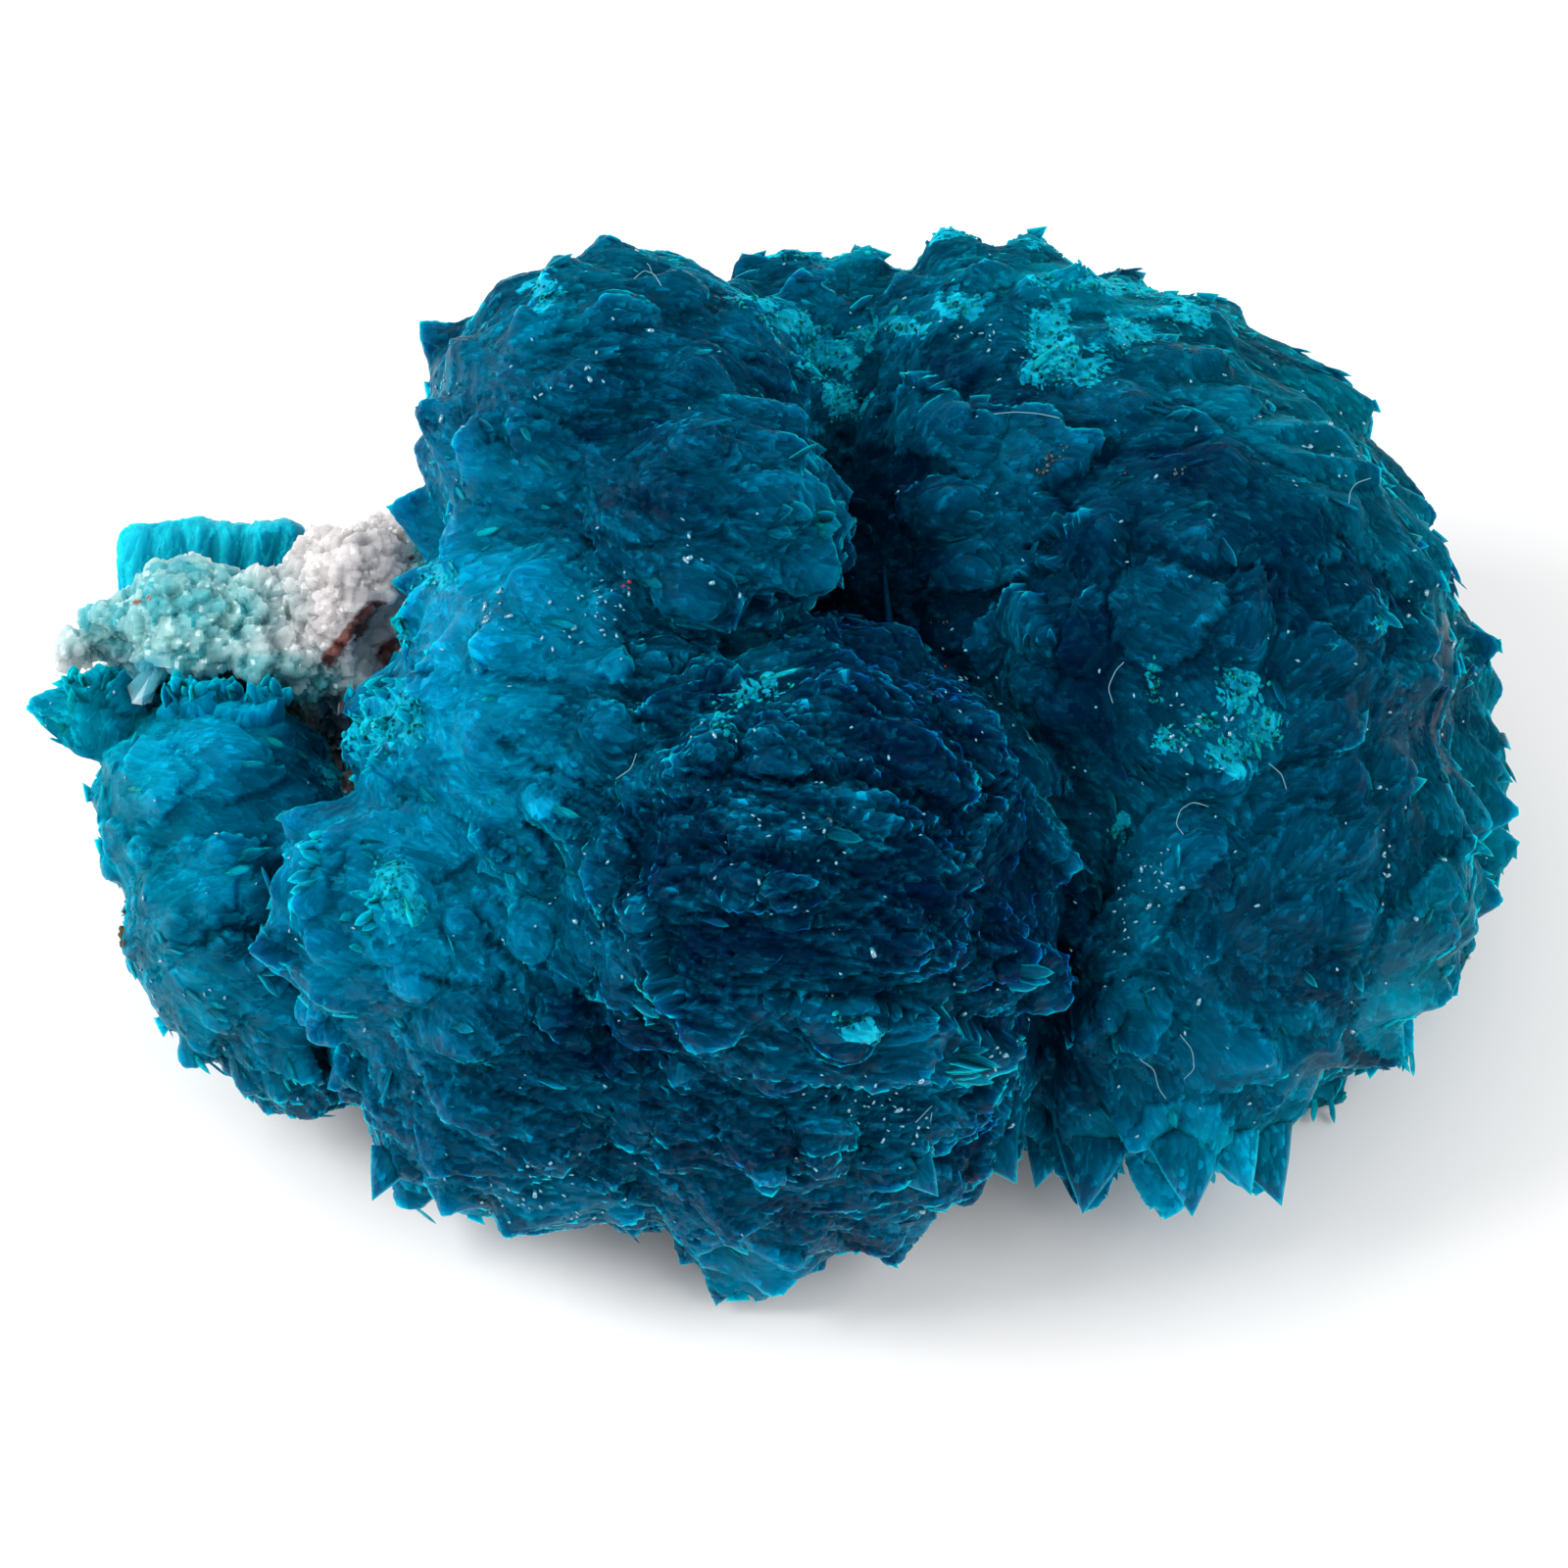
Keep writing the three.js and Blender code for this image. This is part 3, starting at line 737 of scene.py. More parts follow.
# %% Mesh from arrays
def mesh_of(name, points, faces, colours):
    """A new object from mm points, faces of one kind, and colours of points or of corners."""
    mesh = bpy.data.meshes.new(name)
    mesh.vertices.add(len(points))
    mesh.vertices.foreach_set("co", (points * MM).ravel())
    mesh.loops.add(faces.size)
    mesh.loops.foreach_set("vertex_index", faces.ravel())
    mesh.polygons.add(len(faces))
    mesh.polygons.foreach_set("loop_start", np.arange(0, faces.size, faces.shape[1]))
    mesh.update(calc_edges=True)
    mesh.validate()
    for key, values in colours.items():
        domain = "POINT" if len(values) == len(points) else "CORNER"
        attribute = mesh.color_attributes.new(key, "FLOAT_COLOR", domain)
        attribute.data.foreach_set("color", values.astype(np.float32).ravel())
    obj = bpy.data.objects.new(name, mesh)
    bpy.context.collection.objects.link(obj)
    return obj


def triangles(obj):
    return sum(len(face.vertices) - 2 for face in obj.data.polygons)


MOST_TRIANGLES = 200_000  # in one piece
print("no piece may have more than", MOST_TRIANGLES, "triangles")

# %% [markdown]
# ## Making the skins
#
# The skin of the main cluster would have too many triangles as one piece, so it is cut along the
# valley between its two masses, and behind, where a coarser skin is enough. Each cut is filled
# inside the body, so every part is closed.


# %% Cut a skin into closed parts
def parted(points, quads, *values, keep):
    """The quads to keep, and the points and values that they use, counted anew."""
    quads = quads[keep]
    used = np.unique(quads)
    return points[used], np.searchsorted(used, quads), [value[used] for value in values]


def closed(obj):
    """Fill the open cut of a part, inside the body, so that the part is closed."""
    mesh = bmesh.new()
    mesh.from_mesh(obj.data)
    rim = [edge for edge in mesh.edges if edge.is_boundary]
    if rim:
        filled = bmesh.ops.holes_fill(mesh, edges=rim, sides=0)["faces"]
        bmesh.ops.triangulate(mesh, faces=filled)
        mesh.to_mesh(obj.data)
    mesh.free()


SHARP_FROM = math.radians(22)  # faces that meet at more than this look like separate blades


def skin_part(name, on, points, quads, zone, tint, grain):
    """One part of a skin, from the quads that are on it, with its three colour attributes."""
    places, quad, (own_zone,) = parted(points, quads, zone, keep=on)
    tint, grain = tint[on].reshape(-1, 4), grain[on].reshape(-1, 4)
    obj = mesh_of(name, places, quad, {"zone": own_zone, "tint": tint, "grain": grain})
    closed(obj)
    obj.data.shade_smooth()
    obj.data.set_sharp_from_angle(angle=SHARP_FROM)
    print("  ", name, triangles(obj), "triangles")
    return obj


print("edges sharper than", round(math.degrees(SHARP_FROM)), "degrees stay sharp")

# %% [markdown]
# ## Points that stand out
#
# The solids show some large pointed bundles. Left as they are they would be smooth cones, so
# they are mostly softened away and the scales take their place. Only those that show in the
# outline are kept whole.

# %% A softened solid
LARGE_POINTS_KEPT = 0.15  # how much is kept of the solids' large points
# where they are kept whole: place on the face, reach across and up
POINTS_THAT_STAND_OUT = [
    (-8.1, 5.3, 1.2, 0.9),
    (-7.5, 9.0, 1.0, 0.8),
    (6.3, -9.0, 1.1, 1.2),
    (8.0, -9.2, 1.3, 1.3),
    (9.8, -8.8, 1.2, 1.2),
    (12.9, -6.2, 1.2, 1.2),
    (15.3, -1.6, 0.9, 1.6),
    (14.9, 2.5, 0.9, 0.9),
    (3.0, -9.7, 0.9, 0.9),
    (4.1, -8.5, 0.9, 0.8),
    (-7.8, -9.2, 1.0, 1.0),
    (-0.8, -11.0, 1.4, 0.8),
    (4.5, -6.0, 0.8, 0.7),
    (5.6, -4.2, 0.8, 0.7),
    (-15.3, 1.2, 0.9, 0.8),
    (-12.3, -6.3, 0.9, 0.9),
]

KEPT_WHOLE = 0.95  # how much of a point is kept where it stands out
SWELL = 0.06  # mm, to make up for what evening out takes away
USUAL_SIZE = 0.09  # mm; smaller faces need more rounds to be as smooth


def softened(node, size, soften, kept_share, parts):
    """Points, quads and normals of a node's even surface, where some part needs them."""
    points, quads, normal, edges = remeshed(node, size)
    sharp = evened(points, edges, 4)
    times = int(soften * (USUAL_SIZE / size) ** 2)
    points = evened(sharp, edges, times)
    normal = unit(evened(normal, edges, times))
    centre = points[quads].mean(axis=1)
    wanted = np.any([keep(centre) for keep in parts.values()], axis=0)
    points, quads, (sharp, normal) = parted(points, quads, sharp, normal, keep=wanted)
    face = to_face(points)
    kept = np.max([blob(face, *place) for place in POINTS_THAT_STAND_OUT], axis=0)
    kept = kept_share + (KEPT_WHOLE - kept_share) * kept
    return points + kept[:, None] * (sharp - points) + SWELL * normal, quads, normal


print(len(POINTS_THAT_STAND_OUT), "large points are kept")

# %% [markdown]
# ## Three layers of leaves
#
# Sheaves of blades, single blades and their tips are three layers of leaves, each about half as
# large as the one before. Together they say how far each point of the skin is moved out.

# %% A skin with its leaves
SHEAVES = Kind(0.8, 0.95, 0.06, 0.04, 0.0, 0.035)
BLADES = Kind(0.4, 0.5, 0.09, 0.09, 0.0, 0.02)
TIPS = Kind(0.2, 0.26, 0.14, 0.16, 0.0, 0.015)
Surface = namedtuple("Surface", "places normal run zone blue")
surfaces = []  # what the skins leave for the pieces that are laid on them
PATTERN_STEP = 90  # so that each blade reads another part of the material's pattern
FOOT = (0.02, 0.4)  # mm: how far above the ground leaves start, and until they are whole
# relief or paleness, and how strong the pattern or how high the leaves are there
PATTERN_BY_RELIEF = ((0.45, 1.0), (0.75, 1.1))
PATTERN_BY_PALENESS = ((0.07, 0.2, 0.32, 0.5), (1.1, 0.72, 0.42, 0.5))
HEIGHT_BY_PALENESS = ((0.1, 0.35), (1.05, 0.55))


def leaf_colours(points, quads, big, middle, strength):
    """Where each face corner is in its blade. A face has one blade, so blades end sharply."""
    corner = quads.ravel()
    blade, sheaf = np.repeat(middle.own[quads[:, 0]], 4), np.repeat(big.own[quads[:, 0]], 4)
    x, y, room = on_leaves(middle, points[corner], blade)
    chance = middle.chance[blade]
    along = np.clip(0.5 + 0.5 * x / middle.half[blade], 0, 1)
    tint = np.stack([room, along, chance, big.chance[sheaf]], axis=1)
    shift = chance * PATTERN_STEP
    grain = np.stack([x + shift, y + 0.7 * shift, 0 * x, strength[corner]], axis=1)
    return tint.reshape(-1, 4, 4), grain.reshape(-1, 4, 4)


def nowhere(points):
    return np.zeros(len(points))


def skin(
    node,
    balls,
    size,
    seed,
    parts,
    kinds=(SHEAVES, BLADES, TIPS),
    soften=40,
    kept_share=LARGE_POINTS_KEPT,
    sunk=nowhere,
):
    """The skin of a node, cut into parts: a name and a test of face middles for each."""
    random = np.random.default_rng(seed)
    print(node, "remeshed to", size, "mm")
    points, quads, normal = softened(node, size, soften, kept_share, parts)
    run, stretch, relief = balls.grain_at(points, normal)
    raised, run, paler = formed(points, normal, run)
    big = leaves(points, normal, run, stretch, kinds[0], size, random)
    bundle = along_surface(0.5 * run + big.ahead[big.own], normal)
    middle = leaves(points, normal, bundle, stretch, kinds[1], size, random)
    little = leaves(points, normal, bundle, stretch, kinds[2], size, random)
    zone = zone_of(points, paler)
    zone[:, 2] *= np.clip((normal @ OUT + 0.2) / 0.3, 0, 1)
    # detail is strongest where the relief is, and pale places are glassier
    strength = np.interp(relief, *PATTERN_BY_RELIEF)
    strength *= np.interp(zone[:, 0], *PATTERN_BY_PALENESS)
    raised = raised * relief
    relief = relief * np.interp(zone[:, 0], *HEIGHT_BY_PALENESS)
    height = (big.height + middle.height + little.height) * relief
    # the part that rests on the ground keeps its flat foot
    foot = np.clip((points[:, 2] - FOOT[0]) / FOOT[1], 0, 1)
    moved = points + normal * ((height + raised) * foot - sunk(points))[:, None]
    moved[:, 2] = np.maximum(moved[:, 2], 0)
    print("   height", height.min().round(2), "to", height.max().round(2), "mm")
    # how high a point stands among its leaves; the material gives low ones painted shade and high
    # ones painted light
    level = np.clip(0.5 + (height - height.mean()) / 0.4, 0, 1)
    zone = np.column_stack([zone, level])
    blue = np.full(len(moved), node not in ("stilbite_crust", "rear_spray"))
    surfaces.append(Surface(moved, normal, bundle, zone, blue))
    tint, grain = leaf_colours(points, quads, big, middle, strength)
    centre = points[quads].mean(axis=1)
    return [
        skin_part(name, keep(centre), moved, quads, zone, tint, grain)
        for name, keep in parts.items()
    ]


print("leaves", [kind.spacing for kind in (SHEAVES, BLADES, TIPS)], "mm apart")

# %% [markdown]
# ## Where the main cluster is cut
#
# The two halves would show a seam if they ended at the same line. Each runs on past the valley
# and dips under the other there, beyond a line that wanders, so no cut is seen.

# %% Where each skin ends
BACK_FROM = -3.5  # behind this w, in mm, the coarser back skin covers the cluster
BACK_OVERLAP = 0.3  # mm
VALLEY = (0.984, 0.179, 0.0)  # the way across the valley that divides the two masses
VALLEY_AT = 3.3  # mm that way from the middle of the show face
OVERLAP = 0.6  # how far each skin runs on past the valley, in mm
DIP, DIP_OVER = 0.4, 0.3  # how deep a skin dips under the other, and over how many mm
HOLLOW = (-7.9, 2.7, 0.9, 0.7)  # where the crust shows beside the left-hand mass
HOLLOW_DEPTH = 0.65  # mm


def past_valley(points):
    return to_face(points) @ VALLEY - VALLEY_AT


def on_right(points):
    return (past_valley(points) > -OVERLAP) & (to_face(points)[:, 2] > BACK_FROM)


def on_left(points):
    return (past_valley(points) <= OVERLAP) & (to_face(points)[:, 2] > BACK_FROM)


def at_back(points):
    return to_face(points)[:, 2] <= BACK_FROM + BACK_OVERLAP


def anywhere(points):
    return points[:, 2] > -1


def sunk_past(way):
    """Past a wandering line each skin dips under the other, so that no cut shows."""

    def sunk(points):
        past = way * past_valley(points) + 0.25 * way * smooth_noise(points, 0.9, 61)
        hollow = HOLLOW_DEPTH * blob(to_face(points), *HOLLOW)
        return DIP * np.clip(past / DIP_OVER, 0, 1) + hollow

    return sunk


print("the skins overlap over", 2 * OVERLAP, "mm")

# %% [markdown]
# ## The blue masses
#
# The two halves of the main cluster, its back and the small ball beside it. Faces of about a
# tenth of a millimetre show every blade tip. The back has faces twice as large.

# %% Skins of the blue crystals
right, left = {"right_mass": on_right}, {"left_mass": on_left}
main_skins = skin("main_rosette", main_balls, 0.0935, 11, right, sunk=sunk_past(-1))
main_skins += skin("main_rosette", main_balls, 0.114, 13, left, sunk=sunk_past(1))
COARSE_TIPS = Kind(0.35, 0.4, 0.12, 0.12, 0.0, 0.02)
back, back_kinds = {"back_of_rosette": at_back}, (SHEAVES, BLADES, COARSE_TIPS)
main_skins += skin("main_rosette", main_balls, 0.2, 12, back, back_kinds)
(small_skin,) = skin("left_rosette", left_balls, 0.08, 14, {"small_rosette": anywhere})
print(sum(triangles(obj) for obj in (*main_skins, small_skin)), "triangles in the blue skins")

# %% [markdown]
# ## The crust and the spray
#
# Stilbite grows as small pearly grains, each a few tenths of a millimetre across, that crowd
# over one another. They are the same kind of skin with round scales. The spray behind is a slab
# of blades side by side, so its scales are drawn very long, up the slab.

# %% Skins of the crust and the spray
CLUMPS = Kind(0.6, 0.5, 0.1, 0.2, 0.05, 0.08)
GRAINS = Kind(0.28, 0.22, 0.3, 0.3, 0.04, 0.05)
CRUMBS = Kind(0.17, 0.13, 0.3, 0.3, 0.02, 0.03)
crust, crust_kinds = {"stilbite_grains": anywhere}, (CLUMPS, GRAINS, CRUMBS)
(crust_skin,) = skin("stilbite_crust", crust_balls, 0.08, 21, crust, crust_kinds, soften=16)
LONG_BLADES = Kind(0.5, 1.2, 0.03, 0.1, 0.03, 0.04)
NARROW_BLADES = Kind(0.25, 0.7, 0.05, 0.1, 0.0, 0.03)
slab, slab_kinds = {"spray_blades": anywhere}, (LONG_BLADES, NARROW_BLADES, TIPS)
(spray_skin,) = skin("rear_spray", spray_balls, 0.07, 22, slab, slab_kinds, 50, 0.12)
print(triangles(crust_skin), "triangles of crust,", triangles(spray_skin), "of spray")

# %% [markdown]
# ## What lies on top
#
# Small pieces are laid on the skins. Each has to stand on the surface that is seen, also where one
# skin dips under another. So the show face is divided into small squares, and each square
# remembers the surface point that is nearest to the person who looks.

# %% The highest surface over a place on the face
surface = Surface(*(np.concatenate(parts) for parts in zip(*surfaces)))
surface_face = to_face(surface.places)
CELL = 0.1  # mm
ROW = 400  # squares in a row, enough for 40 mm


def cell_of(uv):
    steps = np.floor((np.asarray(uv) + 0.5 * ROW * CELL) / CELL).astype(int)
    return steps[..., 0] * ROW + steps[..., 1]


highest = np.full(ROW * ROW, -1)
by_height = np.argsort(surface_face[:, 2], kind="stable")
highest[cell_of(surface_face[by_height, :2])] = by_height


def on_top(u, v):
    """The number of the highest surface point over a place on the show face."""
    found = highest[cell_of((u, v))]
    if found >= 0:
        return found
    return int(np.argmin(((surface_face[:, :2] - (u, v)) ** 2).sum(axis=1)))


print(len(surface.places), "surface points in", (highest >= 0).sum(), "squares")

# %% [markdown]
# ## Plates from a template
#
# A single blade is a flat six-sided plate with a point. Hundreds could be instances of one mesh,
# but this part is passed on as plain meshes. So one template is a list of rings of six points,
# and all blades of a kind are worked out at once and joined in one mesh. Each is a closed body.


# %% Templates for a blade, a tooth and a grain
def ring(x, wide, thick):
    around = ((1, 0), (0.5, 1), (-0.5, 1), (-1, 0), (-0.5, -1), (0.5, -1))
    return [(x, a * wide, b * thick) for a, b in around]


def lofted(sections):
    """Points and triangles of a closed body through rings of six, from its foot to its tip."""
    points = [(sections[0][0], 0, 0)]
    for x, wide, thick in sections[1:-1]:
        points += ring(x, wide, thick)
    points.append((sections[-1][0], 0, 0))
    faces, rings = [], len(sections) - 2
    for k in range(6):
        here, after = 1 + k, 1 + (k + 1) % 6
        faces.append((0, after, here))
        for r in range(rings - 1):
            a, b, c, d = here + 6 * r, after + 6 * r, after + 6 * r + 6, here + 6 * r + 6
            faces += [(a, b, c), (a, c, d)]
        faces.append((here + 6 * rings - 6, after + 6 * rings - 6, len(points) - 1))
    return np.array(points, float), np.array(faces)


# along it, half its width and half its thickness, each for a size of 1
BLADE = lofted([(-0.15, 0, 0), (0.0, 0.9, 0.9), (0.55, 1.0, 1.0), (0.8, 0.62, 0.8), (1.0, 0, 0)])
TOOTH = lofted([(-0.15, 0, 0), (0.0, 1.0, 1.0), (0.5, 0.55, 0.6), (1.0, 0, 0)])
GRAIN = lofted([(-0.5, 0, 0), (-0.3, 0.8, 0.7), (0.2, 0.9, 0.9), (0.42, 0.5, 0.6), (0.5, 0, 0)])
FACET = lofted([(-0.5, 0, 0), (-0.45, 0.8, 1.0), (0.0, 1.0, 1.0), (0.45, 0.7, 1.0), (0.5, 0, 0)])
print("triangles in a blade", len(BLADE[1]), "and in a tooth", len(TOOTH[1]))

# %% [markdown]
# ## Many plates in one mesh
#
# The cavansite material reads three colour attributes. A plate needs them as the skins do: where
# a point is in its blade, the pattern's own place, and how pale the spot is that it grows from.


# %% Many plates in one mesh
def plates(template, feet, ahead, up, length, width, thick):
    """Points and triangles of many plates, one for each foot. None goes below the ground."""
    shape, faces = template
    ahead = unit(ahead)
    side = unit(np.cross(up, ahead))
    up = np.cross(ahead, side)
    places = feet[:, None] + shape[None, :, :1] * ahead[:, None] * length[:, None, None]
    places = places + shape[None, :, 1:2] * side[:, None] * width[:, None, None] / 2
    places = places + shape[None, :, 2:] * up[:, None] * thick[:, None, None] / 2
    places = places.reshape(-1, 3)
    places[:, 2] = np.maximum(places[:, 2], 0)
    step = np.arange(len(feet))[:, None, None] * len(shape)
    return places, (faces[None] + step).reshape(-1, 3)


PLATE_DETAIL = 0.7  # how strong the fine pattern is on a single plate


def blade_piece(name, feet, ahead, up, size, zone, random, template=BLADE):
    """A piece of many blades, `size` their length, width and thickness, in cavansite's colours."""
    length, width, thick = size
    places, faces = plates(template, feet, ahead, up, length, width, thick)
    shape, many = template[0], len(feet)
    chance = random.random(many)
    x = shape[:, 0][None] * length[:, None]
    y = shape[:, 1][None] * width[:, None] / 2
    one = np.ones_like(x)
    shift = chance[:, None] * PATTERN_STEP
    along = np.clip(0.2 + 0.8 * shape[:, 0][None] * one, 0, 1)
    tint = np.stack([0.5 * one, along, chance[:, None] * one, chance[:, None] * one], axis=2)
    grain = np.stack([x + shift, y + 0.7 * shift, 0 * one, PLATE_DETAIL * one], axis=2)
    colours = {
        "tint": tint.reshape(-1, 4),
        "grain": grain.reshape(-1, 4),
        "zone": np.repeat(zone, len(shape), axis=0),
    }
    obj = mesh_of(name, places, faces, colours)
    print(name, many, "blades,", triangles(obj), "triangles")
    return obj


# %% [markdown]
# ## Single blades
#
# Here and there one blade, 0.3 to 0.7 mm long, catches the light along a straight edge. Such
# blades lie along the grain with their feet in the skin, and rise from it by a few degrees. There
# are few of them: many would look like fur.

# %% Blades that lie along the grain
SINGLE_BLADES = 700
random = np.random.default_rng(31)


def risen(pick, spread, rise):
    """Directions along the grain, each off it by a spread, that rise from the surface."""
    ahead = surface.run[pick] + spread * random.normal(size=(len(pick), 3))
    ahead = along_surface(ahead, surface.normal[pick])
    return ahead * np.cos(rise) + surface.normal[pick] * np.sin(rise)


# on the higher leaves, and where the surface faces out or a little away
likely = surface.blue & (surface.normal @ OUT > -0.2) & (surface.zone[:, 3] > 0.45)
pick = random.choice(np.nonzero(likely)[0], SINGLE_BLADES, replace=False)
many = len(pick)
length = random.uniform(0.3, 0.7, many)
ahead = risen(pick, 0.25, np.radians(random.uniform(4, 16, (many, 1))))
up = surface.normal[pick] + 0.3 * random.normal(size=(many, 3))
zone = surface.zone[pick].copy()
zone[:, 0] *= random.uniform(0.7, 1.3, many)
feet = surface.places[pick] - 0.05 * surface.normal[pick]
size = (length, length * random.uniform(0.22, 0.4, many), length * random.uniform(0.06, 0.12, many))
single_blades = blade_piece("single_blades", feet, ahead, up, size, zone, random)

# %% [markdown]
# ## Teeth of the outline
#
# Along the outline blade ends are seen from the side, as small teeth against the light. Short
# blunt blades stand there where the surface is edge-on. They are thin, so they are a little
# paler than the skin.

# %% Teeth of the outline
OUTLINE_TEETH = 650
TEETH_FROM = -4.5  # mm; farther behind the show face's zero they would not show
edge_on = (np.abs(surface.normal @ OUT) < 0.3) & (surface.zone[:, 3] > 0.35) & surface.blue
edge_on &= surface_face[:, 2] > TEETH_FROM
pick = random.choice(np.nonzero(edge_on)[0], OUTLINE_TEETH, replace=False)
many = len(pick)
ahead = risen(pick, 0.5, np.radians(random.uniform(15, 50, (many, 1))))
length = random.uniform(0.2, 0.45, many)
zone = surface.zone[pick].copy()
zone[:, 0] += random.uniform(0.0, 0.08, many)
feet = surface.places[pick] - 0.08 * surface.normal[pick]
up = OUT + 0.6 * random.normal(size=(many, 3))
size = (length, length * random.uniform(0.8, 1.3, many), length * 0.3)
outline_teeth = blade_piece("outline_teeth", feet, ahead, up, size, zone, random, TOOTH)

# %% [markdown]
# ## Blades that stand clear
#
# Some blades are large enough to be known one by one: the long ones on the left-hand mass, the fans
# where a ball ends, and a fringe at the foot of the crust. They are put at listed places, in groups
# with a spread.

# %% Blades that stand clear
# foot on the face and reach across and up, how many, turn and its spread, rise, length, width
# for a length of 1, and how much paler
CLEAR_BLADES = [
    (-5.7, -0.7, 0.1, 0.1, 2, -12, 6, 4, 1.1, 0.42, 0.16),
    (-5.35, -1.9, 0.1, 0.1, 2, -78, 10, 4, 0.9, 0.34, 0.12),
    (-5.6, -1.2, 0.3, 0.4, 6, -40, 30, 5, 0.5, 0.36, 0.1),
    (-14.4, 1.7, 0.35, 0.15, 6, 110, 35, 15, 0.35, 0.55, 0.1),
    (-7.7, 0.8, 0.5, 1.0, 22, 172, 28, 8, 0.4, 0.42, 0.06),
    (-8.9, -1.9, 0.3, 0.6, 12, 178, 25, 6, 0.5, 0.45, 0.04),
    (-8.1, -3.3, 0.4, 0.7, 12, 190, 30, 6, 0.45, 0.45, 0.02),
    (3.4, -6.0, 0.2, 0.3, 7, -6, 12, 5, 1.0, 0.3, 0.06),
    (-2.7, -4.4, 0.3, 0.2, 5, -35, 12, 8, 0.9, 0.4, 0.06),
    (4.6, -4.2, 0.2, 0.2, 3, 0, 15, 8, 0.8, 0.45, 0.02),
    (0.2, 4.8, 0.5, 0.3, 7, 0, 20, 6, 0.6, 0.6, 0.03),
    (-11.3, 1.35, 1.5, 0.15, 40, 90, 50, 35, 0.5, 0.55, 0.04),
]
rows = np.repeat(np.array(CLEAR_BLADES), [row[4] for row in CLEAR_BLADES], axis=0)
many = len(rows)
spot = rows[:, :2] + rows[:, 2:4] * random.uniform(-1, 1, (many, 2))
at = np.array([on_top(u, v) for u, v in spot])
turn = np.radians(rows[:, 5] + rows[:, 6] * random.uniform(-1, 1, many))
rise = np.radians(rows[:, 7] * random.uniform(0.5, 1.5, many))
ahead = np.stack([np.cos(turn) * np.cos(rise), np.sin(turn) * np.cos(rise), np.sin(rise)], axis=1)
length = rows[:, 8] * random.uniform(0.7, 1.25, many)
width = length * rows[:, 9] * random.uniform(0.8, 1.2, many)
zone = surface.zone[at].copy()
zone[:, 0] = np.clip(zone[:, 0], 0.1, 0.4) + rows[:, 10] * random.uniform(0.5, 1.3, many)
zone[:, 2], zone[:, 3] = 0, random.uniform(0.45, 0.75, many)
feet, ahead = surface.places[at] - 0.1 * OUT, turn_from_face(ahead)
up = OUT + 0.35 * random.normal(size=(many, 3))
size = (length, width, width * 0.28)
clear_blades = blade_piece("clear_blades", feet, ahead, up, size, zone, random)

# %% [markdown]
# ## Large teeth
#
# Below the right-hand mass a row of thick blade ends points down and out, each 0.9 to 1.8 mm
# long. One more stands at the lower left. The solids have them too, as blunter points.

# %% Teeth at the lower right
# foot on the face, turn, length and width
LARGE_TEETH = [
    (6.4, -7.5, -98, 1.75, 1.7),
    (5.5, -7.6, -105, 1.25, 1.2),
    (7.2, -7.6, -82, 1.3, 1.2),
    (8.2, -7.5, -87, 1.8, 1.9),
    (9.1, -7.6, -70, 1.3, 1.2),
    (9.7, -7.4, -72, 1.7, 1.7),
    (4.3, -7.7, -60, 1.0, 1.1),
    (2.6, -7.9, -50, 0.9, 1.0),
    (-7.8, -8.0, -115, 1.1, 1.0),
]
rows = np.array(LARGE_TEETH)
turn = np.radians(rows[:, 2])
ahead = turn_from_face(np.stack([np.cos(turn), np.sin(turn), -0.3 + 0 * turn], axis=1))
at = np.array([on_top(u, v) for u, v in rows[:, :2]])
zone = surface.zone[at].copy()
zone[:, 0] = np.clip(zone[:, 0], 0.15, 0.4)
zone[:, 2], zone[:, 3] = 0, 0.6
feet = surface.places[at] - 0.35 * OUT
up = OUT + 0.3 * random.normal(size=(len(rows), 3))
size = (rows[:, 3], rows[:, 4], rows[:, 4] * 0.4)
large_teeth = blade_piece("large_teeth", feet, ahead, up, size, zone, random, TOOTH)

# %% [markdown]
# ## Crushed plates
#
# The powder of a crushed place is made of splinters about a tenth of a millimetre long that lie
# at all angles. Each is a short grain with its own share of the powder's colour.


# %% Crushed plates
def scattered(places, spread=1.0):
    """Surface points by chance: place on the face, reach across and up, and how many."""
    return [
        on_top(u + reach_u * spread * random.normal(), v + reach_v * spread * random.normal())
        for u, v, reach_u, reach_v, count in places
        for _ in range(count)
    ]


# some for each place and more for the larger ones, most of them well inside its edge
crowd = [(*place, int(14 + 200 * place[2] * place[3])) for place in CRUSHED_PLACES]
at = np.array(scattered(crowd, 0.6))
many = len(at)
length = random.uniform(0.07, 0.17, many)
ahead = along_surface(random.normal(size=(many, 3)), surface.normal[at])
ahead = ahead + random.uniform(0.1, 0.8, (many, 1)) * surface.normal[at]
zone = surface.zone[at].copy()
zone[:, 0] = np.maximum(zone[:, 0], 0.2) + random.uniform(0.05, 0.35, many)
zone[:, 1] *= 0.4
zone[:, 2], zone[:, 3] = random.uniform(0, 0.9, many), 0.7
up = surface.normal[at] + 0.5 * random.normal(size=(many, 3))
size = (length, length * random.uniform(0.5, 0.9, many), length * 0.4)
feet = surface.places[at]
crushed_plates = blade_piece("crushed_plates", feet, ahead, up, size, zone, random, GRAIN)

# %% [markdown]
# ## Glints
#
# A few small crystal faces happen to lie so that they mirror the lamp. A sparkle could be a
# light texture, but that would shine from all sides. Each is a tiny block with a flat top
# instead, 0.03 to 0.13 mm wide, and its top is turned half way between the lamp and the person
# who looks. Seen from elsewhere it is as dark as the rest, as on the real thing.

# %% Small faces that catch the light
LAMP_PLACE = (-110, 45, 80)
